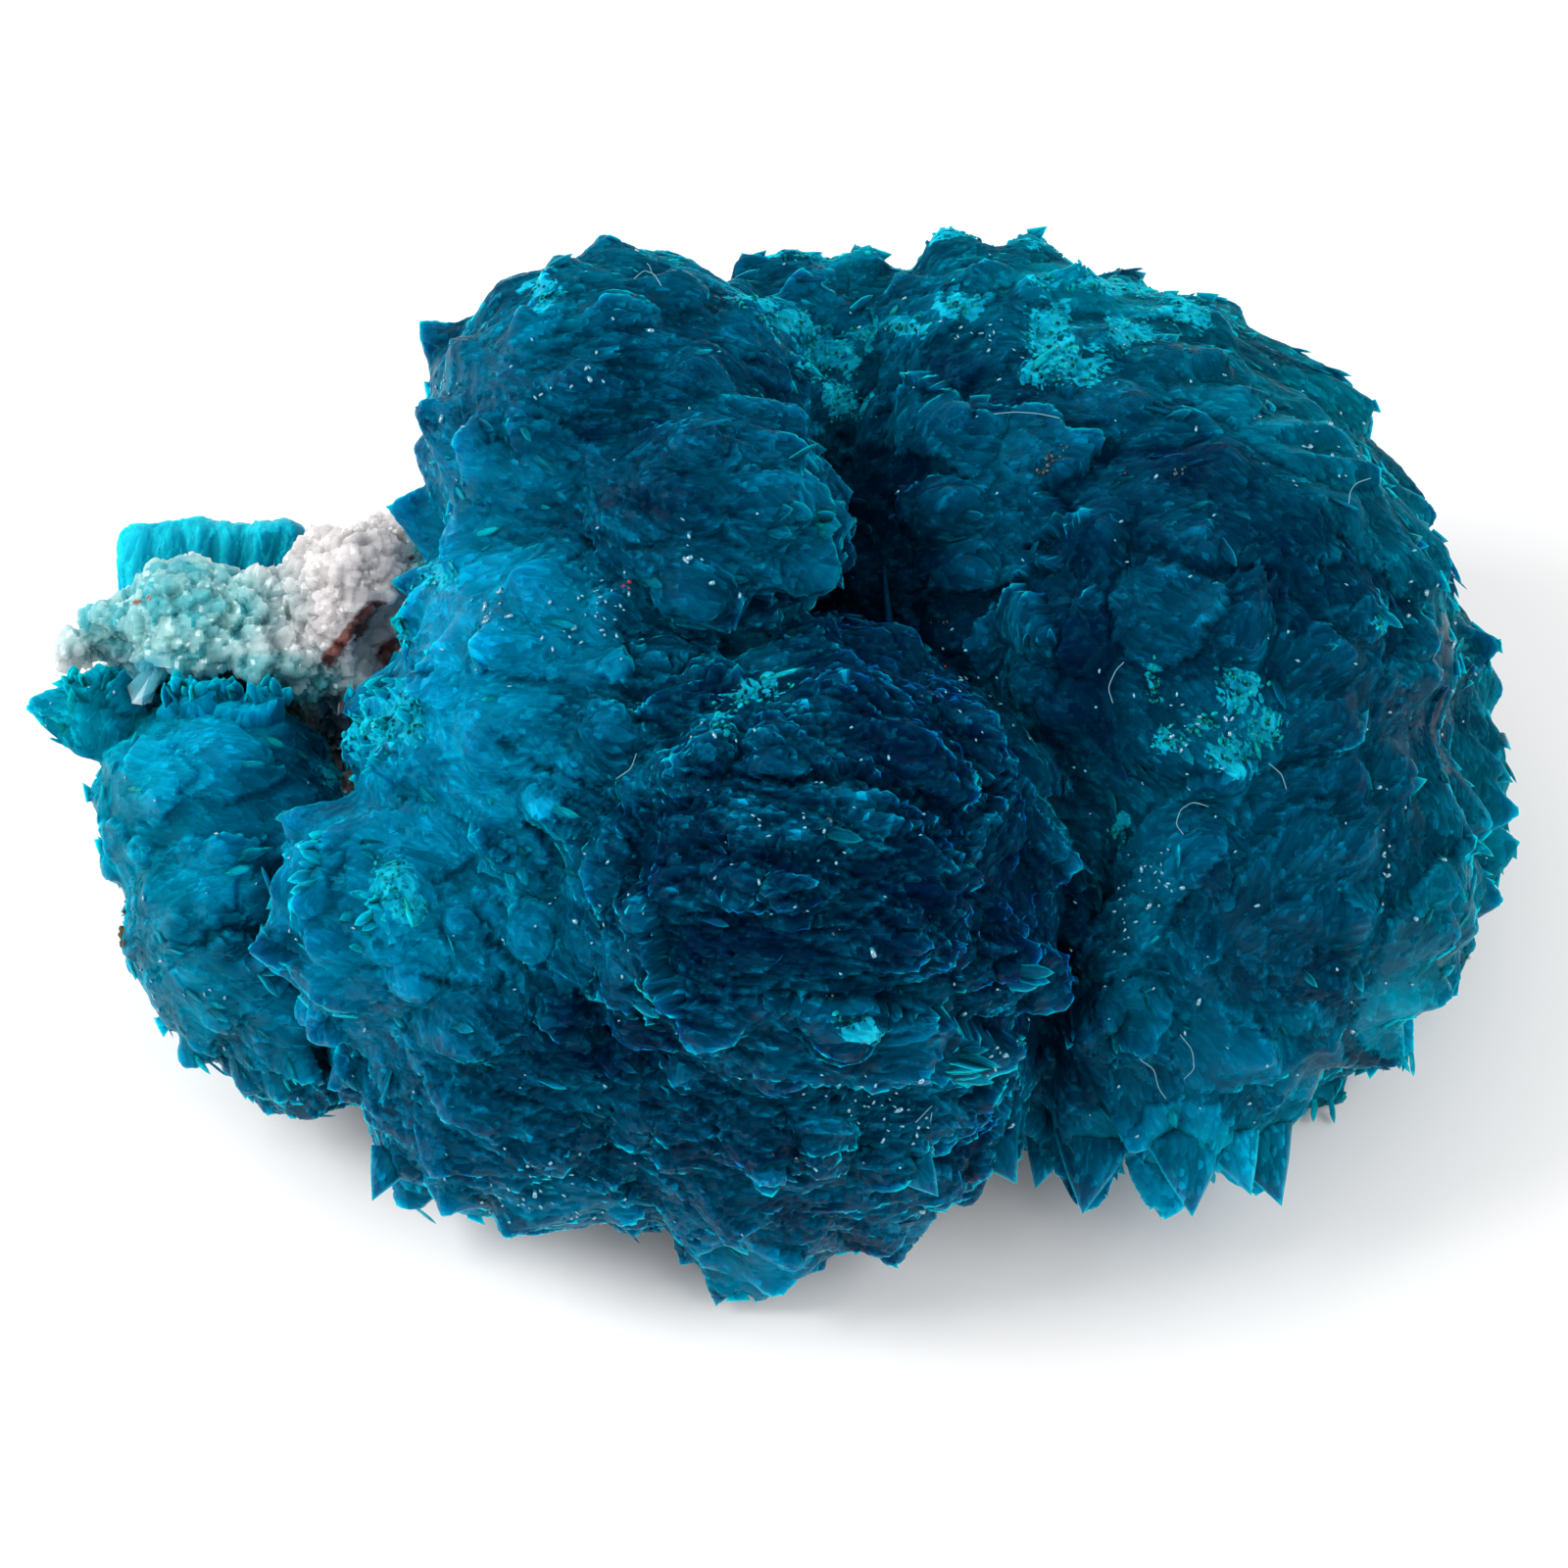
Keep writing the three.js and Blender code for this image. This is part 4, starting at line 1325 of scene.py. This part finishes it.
# clusters: place on the face, reach across and up, and how many
GLINT_PLACES = [
    (-3.5, 2.9, 0.5, 0.4, 32),
    (-5.8, 3.0, 0.3, 0.2, 16),
    (7.5, -2.3, 0.2, 0.35, 20),
    (6.8, -3.4, 0.15, 0.7, 16),
    (4.2, -5.9, 0.3, 0.2, 16),
    (1.7, -6.7, 0.6, 0.4, 28),
    (2.7, -7.4, 0.4, 0.3, 12),
    (3.6, 8.7, 0.6, 0.2, 16),
    (-4.4, 7.9, 0.4, 0.3, 12),
    (-6.7, 7.5, 0.1, 0.1, 4),
    (12.1, -2.1, 0.1, 0.3, 8),
    (-1.7, 4.1, 0.2, 0.2, 8),
    (-5.0, -8.7, 0.9, 0.4, 36),
    (8.3, 0.5, 0.5, 0.6, 16),
    (3.8, 1.6, 0.3, 0.8, 12),
    (11.1, 6.4, 0.7, 0.5, 12),
    (-3.5, -3.0, 0.8, 0.6, 16),
    (0.6, -1.0, 1.6, 1.0, 32),
]
SINGLE_GLINTS = 240
clusters = scattered(GLINT_PLACES)
towards_us = np.nonzero(likely & (surface.normal @ OUT > 0.3))[0]
at = np.array(clusters + list(random.choice(towards_us, SINGLE_GLINTS, replace=False)))
many = len(at)
half_way = turn_from_face(unit(unit(np.array(LAMP_PLACE, float)) + (0, 0, 1)))
facing = unit(half_way + 0.05 * random.normal(size=(many, 3)))
large = random.random(many) < 0.1  # one glint in ten is twice as wide
width = np.where(large, random.uniform(0.08, 0.13, many), random.uniform(0.03, 0.07, many))
ahead = along_surface(random.normal(size=(many, 3)), facing)
feet = surface.places[at] + 0.03 * OUT
length, thick = width * random.uniform(1, 2, many), np.full(many, 0.1)
glints = mesh_of("glinting_faces", *plates(FACET, feet, ahead, facing, length, width, thick), {})
print("glints:", many)

# %% [markdown]
# ## Crumbs
#
# There are crumbs of stilbite in the folds, a few red grains of iron oxide at two places, and a
# little rust at the small ball's edge. Each is a grain laid on the surface with its own turn.


# %% Crumbs of stilbite and iron oxide
def crumbs(name, rows):
    """Grains: place on the face, reach across and up, how many, and size in mm."""
    at, size = [], []
    for u, v, reach_u, reach_v, count, grain_size in rows:
        for _ in range(count):
            across, higher = reach_u * random.uniform(-1, 1), reach_v * random.uniform(-1, 1)
            at.append(on_top(u + across, v + higher))
            size.append(grain_size * random.uniform(0.6, 1.3))
    at, size = np.array(at), np.array(size)
    ahead, up = random.normal(size=(len(at), 3)), random.normal(size=(len(at), 3))
    feet = surface.places[at] + 0.03 * OUT
    print(name, len(at), "grains")
    return mesh_of(name, *plates(GRAIN, feet, ahead, up, size, size * 0.8, size * 0.7), {})


stilbite_crumbs = crumbs(
    "stilbite_crumbs",
    [
        (5.4, 6.1, 0.12, 0.12, 10, 0.1),
        (5.2, 5.8, 0.12, 0.1, 10, 0.1),
        (5.7, 6.25, 0.1, 0.1, 5, 0.08),
        (7.9, 5.8, 0.2, 0.12, 6, 0.1),
        (6.8, 5.7, 0.08, 0.04, 2, 0.1),
        (3.2, 2.9, 0.2, 0.03, 4, 0.09),
        (3.0, 1.3, 0.15, 0.08, 4, 0.07),
        (1.0, -1.1, 0.06, 0.04, 2, 0.1),
        (1.1, -3.3, 0.05, 0.04, 2, 0.08),
        (1.0, -4.6, 0.05, 0.04, 2, 0.08),
        (-0.1, -7.7, 0.06, 0.05, 3, 0.07),
    ],
)
red_grains = crumbs(
    "red_grains", [(-3.0, 3.5, 0.05, 0.03, 3, 0.09), (3.3, 1.9, 0.04, 0.02, 2, 0.07)]
)
rusty_grains = crumbs(
    "rusty_grains", [(-13.6, -3.3, 0.12, 0.4, 16, 0.16), (-13.7, -2.9, 0.05, 0.1, 3, 0.1)]
)

# %% [markdown]
# ## Lint
#
# A specimen that has been handled picks up a few fibres. A curve with a bevel would be the usual
# way to draw one. Here each is a thin tube of five sides that follows the surface below it,
# stretched over the hollows as a fibre is.

# %% Lint
LINT = [
    [(-2.9, 9.7), (-2.7, 9.9), (-2.5, 9.8), (-2.35, 9.55)],
    [(-2.55, 9.85), (-2.6, 10.0), (-2.65, 10.05)],
    [(4.3, 7.0), (4.7, 7.05), (5.2, 7.0), (5.6, 6.9)],
    [(11.3, 5.1), (11.35, 5.4), (11.5, 5.6), (11.8, 5.7)],
    [(8.0, -1.4), (7.85, -1.2), (7.95, -0.9), (8.2, -0.75), (8.5, -0.85)],
    [(6.6, 1.2), (6.5, 1.5), (6.65, 1.85), (6.8, 2.0)],
    [(9.7, 0.0), (9.95, -0.2), (10.05, -0.5)],
    [(7.2, -5.9), (7.5, -6.1), (7.6, -6.5), (7.75, -6.7)],
    [(8.0, -5.4), (8.25, -5.7), (8.3, -6.1), (8.1, -6.3)],
    [(2.7, -7.1), (2.9, -6.9), (3.05, -6.75), (3.0, -7.1)],
    [(-3.2, -0.3), (-2.9, -0.1), (-2.8, 0.2)],
]
LINT_RADIUS, LINT_ABOVE = 0.009, 0.05  # mm
SIDES = 5
ROUNDED, STRETCHED = 3, 12  # rounds of evening its path, and of lifting it over hollows


def lint_thread(path, radius):
    """A thin closed tube along places on the face, lying just above the surface."""
    ends = np.array(path, float)
    steps = np.linspace(0, len(ends) - 1, 6 * len(ends))
    uv = np.stack([np.interp(steps, range(len(ends)), ends[:, k]) for k in (0, 1)], axis=1)
    for _ in range(ROUNDED):
        uv[1:-1] = (uv[:-2] + uv[1:-1] + uv[2:]) / 3
    w = np.array([surface_face[on_top(u, v), 2] for u, v in uv])
    for _ in range(STRETCHED):
        w[1:-1] = np.maximum(w[1:-1], (w[:-2] + w[2:]) / 2)
    line = np.column_stack([uv, w + LINT_ABOVE])
    ahead = unit(np.gradient(line, axis=0))
    side = unit(np.cross(ahead, (0.1, 0.2, 1)))
    up = np.cross(side, ahead)
    angles = np.arange(SIDES) * math.tau / SIDES
    rings = [line + radius * (math.cos(a) * side + math.sin(a) * up) for a in angles]
    points = np.concatenate([np.stack(rings, axis=1).reshape(-1, 3), line[:1], line[-1:]])
    faces, last = [], len(line) - 1
    for a in range(SIDES):
        b = (a + 1) % SIDES
        for here in range(0, SIDES * last, SIDES):
            after = here + SIDES
            faces += [(here + a, here + b, after + b), (here + a, after + b, after + a)]
        faces.append((len(points) - 2, b, a))
        faces.append((len(points) - 1, SIDES * last + a, SIDES * last + b))
    return from_face(points), np.array(faces)


threads = [lint_thread(path, LINT_RADIUS) for path in LINT]
first = np.cumsum([0] + [len(points) for points, _ in threads])
thread_points = np.concatenate([points for points, _ in threads])
thread_faces = np.concatenate([faces + start for (_, faces), start in zip(threads, first)])
lint = mesh_of("lint", thread_points, thread_faces, {})
print("lint threads:", len(LINT))

# %% [markdown]
# ## Colours and nodes
#
# Every colour is an sRGB hex value, turned to the linear values that Blender uses. A material is
# a tree of nodes. They could be joined by hand in the editor. Here one small function adds a
# node with its settings and with what goes into it, so that each material reads from top to
# bottom: first what varies over the surface, and last the shader.


# %% Colours and nodes
def srgb(code):
    """An sRGB hex value as linear red, green and blue, and an alpha of 1."""
    channels = [int(code[i : i + 2], 16) / 255 for i in (0, 2, 4)]
    return (*(c / 12.92 if c <= 0.04045 else ((c + 0.055) / 1.055) ** 2.4 for c in channels), 1.0)


def new_material(name):
    material = bpy.data.materials.new(name)
    material.use_nodes = True
    material.node_tree.nodes.clear()
    return material, material.node_tree


def add(tree, kind, inputs=None, **settings):
    """Add a node. An input takes a value, a socket, or another node's first live output."""
    node = tree.nodes.new("ShaderNode" + kind)
    for key, value in settings.items():
        setattr(node, key, value)
    for socket, source in (inputs or {}).items():
        if isinstance(source, bpy.types.Node):
            source = next(output for output in source.outputs if output.enabled)
        if isinstance(source, bpy.types.NodeSocket):
            tree.links.new(source, node.inputs[socket])
        else:
            node.inputs[socket].default_value = source
    return node


print("mid grey 808080 is", round(srgb("808080")[0], 3), "in linear light")

# %% [markdown]
# ## Flakes
#
# The finest blade ends are 0.1 to 0.2 mm wide, too fine for the skin's faces. They could be a
# picture laid over the skin, but a picture would show its repeats. They are drawn as flakes
# instead, the cells of a Voronoi pattern in millimetres along and across each leaf, squeezed so
# that they are longer than wide. Each flake has its own tilt and its own random colour.


# %% Flakes along the grain
def fine_flakes(tree, grain, across, along):
    """Flakes, so many to a mm: their random colour, and a height that rises to one side."""
    place = add(tree, "Mapping", {"Vector": grain, "Scale": (along, across, 1.0)})
    cell = add(tree, "TexVoronoi", {"Vector": place, "Scale": 1.0})
    middle = cell.outputs["Position"]
    from_middle = add(tree, "VectorMath", {0: place, 1: middle}, operation="SUBTRACT")
    rise = add(tree, "VectorMath", {0: from_middle, 1: (0.7, 1.0, 0.0)}, operation="DOT_PRODUCT")
    chance = add(tree, "SeparateColor", {"Color": cell.outputs["Color"]}).outputs
    high = add(tree, "Math", {0: chance["Red"], 1: 0.4, 2: rise}, operation="MULTIPLY_ADD")
    return chance, high


# so many to a mm across and along the grain
FLAKES = (5.0, 1.6)  # 0.2 by 0.6 mm, the ends of blades
CHIPS = (13.0, 6.0)  # 0.08 by 0.17 mm, the steps and chips on them
SUGAR = (8.0, 6.0)  # 0.13 by 0.17 mm, the facets of stilbite grains
print("flakes", [round(1 / n, 2) for n in FLAKES], "mm, chips", [round(1 / n, 2) for n in CHIPS])

# %% [markdown]
# ## Cavansite
#
# Cavansite is a strong blue, glassy crystal with an index of 1.54 and no red in it at all. The
# blades could be clear glass with absorption, but thousands of clear leaves in one closed skin
# would only show its dark inside. Light that enters a blade scatters between it and its
# neighbours and comes out a fraction of a millimetre away, bluer. That is subsurface scattering,
# so the shader uses it in full. It gives soft, deep blue shadows and edges that glow a little.
#
# How pale a point is comes from its place, times a detail factor for each thing that makes one leaf
# or flake paler than the next. Some are the blades' own tone; others are painted light and shade,
# from a leaf's height and a flake's rise, and a painted sparkle.

# %% What makes one leaf or flake paler than the next
NAVY = "000b2a"
POWDER = ("027f9e", "12b4d0")  # in the cracks of it, and on top


def detail_of(tree, level, leaf, flake, high, chip, chip_high):
    """One factor for the fine pattern, from 1 where nothing shows."""
    skew = add(tree, "Math", {0: flake["Green"], 1: 2.5}, operation="POWER")
    # a painted sparkle: a few chips much paler
    painted_sparkle = add(tree, "Math", {0: chip["Blue"], 1: 12.0}, operation="POWER")
    # source, its range, and the factor at each end of it
    ranges = [
        (level, 0.15, 0.95, 0.6, 1.38),  # painted shade on low leaves, painted light on high ones
        (leaf["Green"], 0.3, 1.0, 0.85, 1.2),  # a blade is clearest at its free end
        (leaf["Blue"], 0.0, 1.0, 0.72, 1.36),  # no two blades are the same
        (leaf["Red"], 0.0, 0.25, 1.25, 0.96),  # its rim is thin, so it is pale
        (skew, 0.0, 1.0, 0.74, 1.8),  # most flakes are deep, a few much paler
        # painted light where a flake or chip rises, painted shade where it dips under the next
        (high, -0.5, 0.9, 0.72, 1.4),
        (chip_high, -0.5, 0.9, 0.82, 1.22),
        (painted_sparkle, 0.0, 1.0, 0.93, 3.2),  # a painted sparkle on one chip in ten or so
    ]
    detail = 1.0
    for source, *span in ranges:
        factor = add(tree, "MapRange", dict(enumerate([source, *span])))
        detail = add(tree, "Math", {0: detail, 1: factor}, operation="MULTIPLY")
    return detail


print("deepest cavansite, linear:", [round(c, 4) for c in srgb(NAVY)[:3]])

# %% [markdown]
# ## Cavansite's material
#
# Its faces are natural crystal faces, which are smooth, but blade ends are splintered, so the
# gloss is satin: a roughness of 0.28, between a polished 0.05 and a matt 0.6. A glassy mineral of
# index 1.54 would usually have a specular level of 0.5. Here most of what is seen is light from
# inside, and a full reflection from so many small tilted leaves would look like grey dust. The
# bright reflections come from the glints, so the level is low and tinted.
#
# The pattern is the same for the thick masses, for thin splinters, through which light spreads
# less far, and for the slab of the spray, which is clear turquoise.


# %% Cavansite's material
def cavansite(name, deep, palest, palest_outside, scattering):
    """Cavansite from its deepest colour to its palest, and to its palest near the outline.

    `scattering` is how far light spreads in it, in metres.
    """
    material, tree = new_material(name)
    tint, zone, grain = (
        add(tree, "Attribute", attribute_name=key).outputs for key in ("tint", "zone", "grain")
    )
    leaf = add(tree, "SeparateColor", {"Color": tint["Color"]}).outputs
    place = add(tree, "SeparateColor", {"Color": zone["Color"]}).outputs
    flake, high = fine_flakes(tree, grain["Vector"], *FLAKES)
    chip, chip_high = fine_flakes(tree, grain["Vector"], *CHIPS)
    detail = detail_of(tree, zone["Alpha"], leaf, flake, high, chip, chip_high)
    detail = add(tree, "Math", {0: detail, 1: grain["Alpha"]}, operation="POWER")
    shade = add(tree, "Math", {0: place["Red"], 1: detail}, operation="MULTIPLY")
    sheaf = add(tree, "MapRange", {0: tint["Alpha"], 1: 0.0, 2: 1.0, 3: 0.76, 4: 1.3})
    shade = add(tree, "Math", {0: shade, 1: sheaf}, operation="MULTIPLY")
    inside, outside = (
        add(tree, "Mix", {0: shade, 6: srgb(deep), 7: srgb(end)}, data_type="RGBA")
        for end in (palest, palest_outside)
    )
    whole = add(tree, "Mix", {0: place["Green"], 6: inside, 7: outside}, data_type="RGBA")
    # powder lies on some chips of a crushed place and not on others
    crushed = add(tree, "Math", {0: place["Blue"], 1: 2.0, 2: -0.15}, operation="MULTIPLY_ADD")
    crushed = add(tree, "Math", {0: crushed, 1: chip["Green"]}, operation="SUBTRACT")
    crushed = add(tree, "Math", {0: crushed, 1: 5.0}, operation="MULTIPLY", use_clamp=True)
    low, top = (srgb(code) for code in POWDER)
    powder = add(tree, "Mix", {0: chip["Blue"], 6: low, 7: top}, data_type="RGBA")
    colour = add(tree, "Mix", {0: crushed, 6: whole, 7: powder}, data_type="RGBA")
    relief = add(tree, "Math", {0: chip_high, 1: 0.4, 2: high}, operation="MULTIPLY_ADD")
    bump = add(tree, "Bump", {"Height": relief, "Distance": 0.06 * MM, "Strength": 0.7})
    gloss = {"Roughness": 0.28, "IOR": 1.54, "Specular IOR Level": 0.035}
    glow = {"Subsurface Weight": 1.0, "Subsurface Radius": (0.02, 0.7, 1.0)}
    shader = add(
        tree,
        "BsdfPrincipled",
        {
            "Base Color": colour,
            "Specular Tint": srgb("208fb0"),
            "Normal": bump,
            "Subsurface Scale": scattering,
            **gloss,
            **glow,
        },
    )
    add(tree, "OutputMaterial", {"Surface": shader})
    return material


# how far light spreads: 1.4 mm is about as long as a blade, and splinters are half as long
cavansite_blades = cavansite("cavansite_blades", NAVY, "009ac6", "00a4b2", 1.4 * MM)
cavansite_splinters = cavansite("cavansite_splinters", NAVY, "009eca", "00a8b8", 0.7 * MM)
cavansite_slab = cavansite("cavansite_slab", "00809c", "1cc0d6", "1cc0d6", 0.6 * MM)
print(len(cavansite_blades.node_tree.nodes), "nodes in cavansite")

# %% [markdown]
# ## Stilbite
#
# Stilbite is a white to pinkish zeolite with a pearly lustre and an index of 1.50. The grains are
# clear enough for light to pass from one to the next, so they glow like sugar. Next to the
# cavansite they are stained mint green and teal, and iron has left a rusty vein and a few rusty
# specks. Deep in the hollow beside the left-hand mass the crust gets painted shade, a dark
# blue-green. The stains could be painted. They are ovals at known places with ragged edges, kept as
# a colour attribute, so the material can mix them in, and the painted shade with them.

# %% Stains of the crust
# place on the face, reach across and up, in mm
RUST_PLACES = [
    (-8.25, 3.2, 0.18, 0.14),
    (-8.4, 3.02, 0.18, 0.13),
    (-8.52, 2.88, 0.18, 0.13),
    (-8.66, 2.74, 0.2, 0.13),
    (-8.8, 2.6, 0.2, 0.13),
    (-8.95, 2.46, 0.22, 0.15),
    (-9.08, 2.3, 0.22, 0.17),
    (-9.2, 2.15, 0.2, 0.16),
    (-13.1, 3.35, 0.1, 0.13),
    (-12.85, 3.4, 0.06, 0.1),
    (-7.95, 2.3, 0.4, 0.35),
    (-7.5, 4.25, 0.06, 0.06),
]
MINT_PLACES = [(-12.6, 3.2, 2.4, 1.6), (-11.0, 1.6, 2.4, 0.8), (-7.2, 4.4, 0.4, 0.9)]
TEAL_PLACES = [(-13.2, 1.7, 1.2, 0.6), (-11.4, 1.3, 1.4, 0.6), (-12.6, 4.5, 0.9, 0.25)]
PAINTED_SHADE_PLACES = [(-9.1, 0.8, 0.6, 0.8)]  # painted shade, deep in the hollow beside the left-hand mass


def stain_and_shade(obj):
    """Colour attribute of the crust: how minty, rusty and teal each point is, and how much painted
    shade it has.
    """
    mesh = obj.data
    points = np.empty(len(mesh.vertices) * 3)
    mesh.vertices.foreach_get("co", points)
    face = to_face(points.reshape(-1, 3) / MM)
    wobble = 0.07 * smooth_way(face, 0.8, 33)
    ragged, very_ragged = face + 1.5 * wobble, face + 3 * wobble
    stains = (
        (face, MINT_PLACES),
        (ragged, RUST_PLACES),
        (very_ragged, TEAL_PLACES),
        (ragged, PAINTED_SHADE_PLACES),
    )
    values = [np.max([blob(at, *place) for place in places], axis=0) for at, places in stains]
    values = np.stack(values, axis=1)
    attribute = mesh.color_attributes.new("stain_and_shade", "FLOAT_COLOR", "POINT")
    attribute.data.foreach_set("color", values.astype(np.float32).ravel())
    print("rusty points:", int((values[:, 1] > 0.45).sum()), "of", len(values))


stain_and_shade(crust_skin)

# %% [markdown]
# ## Stilbite's material
#
# Stilbite's grains are cleaved, with pearly faces: smoother than the blade ends, at a roughness
# of 0.22, and with the usual specular level of 0.5. The facets of the smallest grains, 0.13 by
# 0.17 mm, are a bump. Light spreads 1.1 mm, a few grains far, nearly the same in all colours.


# %% Stilbite's material
def stilbite(name):
    material, tree = new_material(name)
    tint, stained, grain = (
        add(tree, "Attribute", attribute_name=key).outputs for key in ("tint", "stain_and_shade", "grain")
    )
    leaf = add(tree, "SeparateColor", {"Color": tint["Color"]}).outputs
    part = add(tree, "SeparateColor", {"Color": stained["Color"]}).outputs
    _, high = fine_flakes(tree, grain["Vector"], *SUGAR)
    pearly, minty = (
        add(tree, "Mix", {0: leaf["Blue"], 6: srgb(low), 7: srgb(top)}, data_type="RGBA")
        for low, top in (("aca8a8", "d6d0d0"), ("2a959f", "86b6b6"))
    )
    # each stain: where it is, the range in which it comes in, its share, and its colour
    stains = [
        (part["Red"], 0.15, 0.6, 1.0, minty),
        (part["Blue"], 0.25, 0.8, 0.9, srgb("128aa0")),
        (part["Green"], 0.3, 0.6, 1.0, srgb("744640")),
        # painted shade deep in the hollow
        (stained["Alpha"], 0.25, 0.6, 0.95, srgb("03303e")),
    ]
    colour = pearly
    for where, low, top, most, own in stains:
        share = add(tree, "MapRange", {0: where, 1: low, 2: top, 3: 0.0, 4: most})
        colour = add(tree, "Mix", {0: share, 6: colour, 7: own}, data_type="RGBA")
    bump = add(tree, "Bump", {"Height": high, "Distance": 0.06 * MM, "Strength": 0.6})
    gloss = {"Roughness": 0.22, "IOR": 1.5, "Specular IOR Level": 0.5}
    glow = {"Subsurface Weight": 1.0, "Subsurface Radius": (1.0, 0.98, 0.95)}
    shader = add(
        tree,
        "BsdfPrincipled",
        {"Base Color": colour, "Normal": bump, "Subsurface Scale": 1.1 * MM, **gloss, **glow},
    )
    add(tree, "OutputMaterial", {"Surface": shader})
    return material


stilbite_grains = stilbite("stilbite_grains")
print(len(stilbite_grains.node_tree.nodes), "nodes in stilbite")

# %% [markdown]
# ## Small things
#
# The mirror faces, grains of iron oxide and lint are at most 0.2 mm wide, too small to show a
# pattern. A mottling finer than can be seen only dulls their colour a little. The mirror faces
# are cavansite, as smooth as glass: a coat of a high index makes them bright enough to be seen
# at their size.


# %% Materials of the small things
MOTTLES = 9000.0  # across the box of a piece, far too fine to be told apart
MOTTLE_SHADE = 0.6  # how dark the dark ones are


def plain(name, colour, roughness, reflection, coat=0.0):
    """A mottled colour, for things too small to show more."""
    material, tree = new_material(name)
    noise = add(tree, "TexNoise", {"Scale": MOTTLES, "Detail": 2.0})
    full = srgb(colour)
    dark = (*(MOTTLE_SHADE * channel for channel in full[:3]), 1.0)
    mottled = add(tree, "Mix", {0: noise.outputs["Fac"], 6: dark, 7: full}, data_type="RGBA")
    gloss = {"Roughness": roughness, "Specular IOR Level": reflection}
    clear = {"Coat Weight": coat, "Coat IOR": 2.2, "Coat Roughness": 0.04}
    shader = add(tree, "BsdfPrincipled", {"Base Color": mottled, **gloss, **clear})
    add(tree, "OutputMaterial", {"Surface": shader})
    return material


glint_faces = plain("glint_faces", "1286a6", 0.04, 1.0, coat=1.0)
hematite = plain("hematite_grains", "a8322c", 0.4, 0.3)
rust = plain("rusty_grains", "463a1c", 0.5, 0.3)
lint_fibre = plain("lint_fibre", "7fb4c4", 0.6, 0.2)
print(len(bpy.data.materials), "materials")

# %% [markdown]
# ## Finish the pieces
#
# Each piece gets its material and rides on the specimen's one body. The skins replace the
# solids. The small pieces that are laid on them take their finish from the skin they lie on.

# %% Materials, bodies and slots
replaced = {obj: "main_rosette" for obj in main_skins}
replaced |= {small_skin: "left_rosette", crust_skin: "stilbite_crust", spray_skin: "rear_spray"}
for obj, node in replaced.items():
    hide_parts(node)
finishes = {
    cavansite_blades: (*main_skins, small_skin),
    cavansite_splinters: (single_blades, outline_teeth, large_teeth, clear_blades, crushed_plates),
    cavansite_slab: (spray_skin,),
    stilbite_grains: (crust_skin, stilbite_crumbs),
    glint_faces: (glints,),
    hematite: (red_grains,),
    rust: (rusty_grains,),
    lint_fibre: (lint,),
}
for material, pieces in finishes.items():
    for obj in pieces:
        obj.data.materials.append(material)
        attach(obj, "root")
counts = {obj.name: triangles(obj) for pieces in finishes.values() for obj in pieces}
print(sum(counts.values()), "triangles in all")
print("pieces with too many:", [name for name, n in counts.items() if n > MOST_TRIANGLES])

# %% [markdown]
# ## Floor
#
# The specimen lies on a plain white card, much larger than itself, so that no edge is seen. It
# is part of the stage and not of the specimen.

# %% Floor
FLOOR_WIDTH = 2.0
bpy.ops.mesh.primitive_plane_add(size=FLOOR_WIDTH, location=(0, 0, 0))
floor = bpy.context.object
floor.name = "floor"
card, tree = new_material("white_card")
shader = add(tree, "BsdfPrincipled", {"Base Color": srgb("f6f6f6"), "Roughness": 0.8})
add(tree, "OutputMaterial", {"Surface": shader})
floor.data.materials.append(card)
print("floor", FLOOR_WIDTH, "m wide")

# %% [markdown]
# ## Light
#
# Small things are lit with large soft lights from near by. The world gives most of the light. A
# soft box on the left gives the balls their shape, and a weaker one fills from the right. The
# plain colour transform keeps the strong blue as it is.

# %% Light
SKY_STRENGTH = 0.84
scene = bpy.context.scene
scene.view_settings.view_transform = "Standard"
scene.world = bpy.data.worlds.new("studio")
scene.world.use_nodes = True
sky = scene.world.node_tree.nodes["Background"]
sky.inputs["Color"].default_value = (1, 1, 1, 1)
sky.inputs["Strength"].default_value = SKY_STRENGTH


def lamp(name, place, size, power):
    """A square soft box, `size` mm wide, at a place given from the show face, aimed at it."""
    data = bpy.data.lights.new(name, "AREA")
    data.size, data.energy = size * MM, power
    obj = bpy.data.objects.new(name, data)
    obj.location = Vector(from_face(place) * MM)
    aim = Vector(from_face([0, 0, 0]) * MM) - obj.location
    obj.rotation_mode = "QUATERNION"
    obj.rotation_quaternion = aim.to_track_quat("-Z", "Y")
    bpy.context.collection.objects.link(obj)
    print(name, "light,", power, "W,", round(aim.length / MM), "mm away")


lamp("key", LAMP_PLACE, 70, 0.17)
lamp("fill", (80, 10, 100), 80, 0.06)

# %% [markdown]
# ## Camera
#
# A long lens from far away shows the specimen nearly without perspective, as a lens for small
# things does. It looks straight at the show face, so it leans as the face does.

# %% Camera
WIDTH_SEEN = 32.0  # mm across the picture
AIM = (0.1, -0.4)  # the middle of the picture, on the show face
camera_data = bpy.data.cameras.new("camera")
camera_data.sensor_width = 36
camera_data.lens = 200
camera_data.clip_start = 0.001
camera_data.clip_end = 10
camera = bpy.data.objects.new("camera", camera_data)
distance = WIDTH_SEEN * camera_data.lens / camera_data.sensor_width
camera.location = Vector(from_face([*AIM, distance]) * MM)
camera.rotation_euler = (FACE_LEAN, 0, 0)
bpy.context.collection.objects.link(camera)
scene.camera = camera
print("camera", round(distance), "mm away")
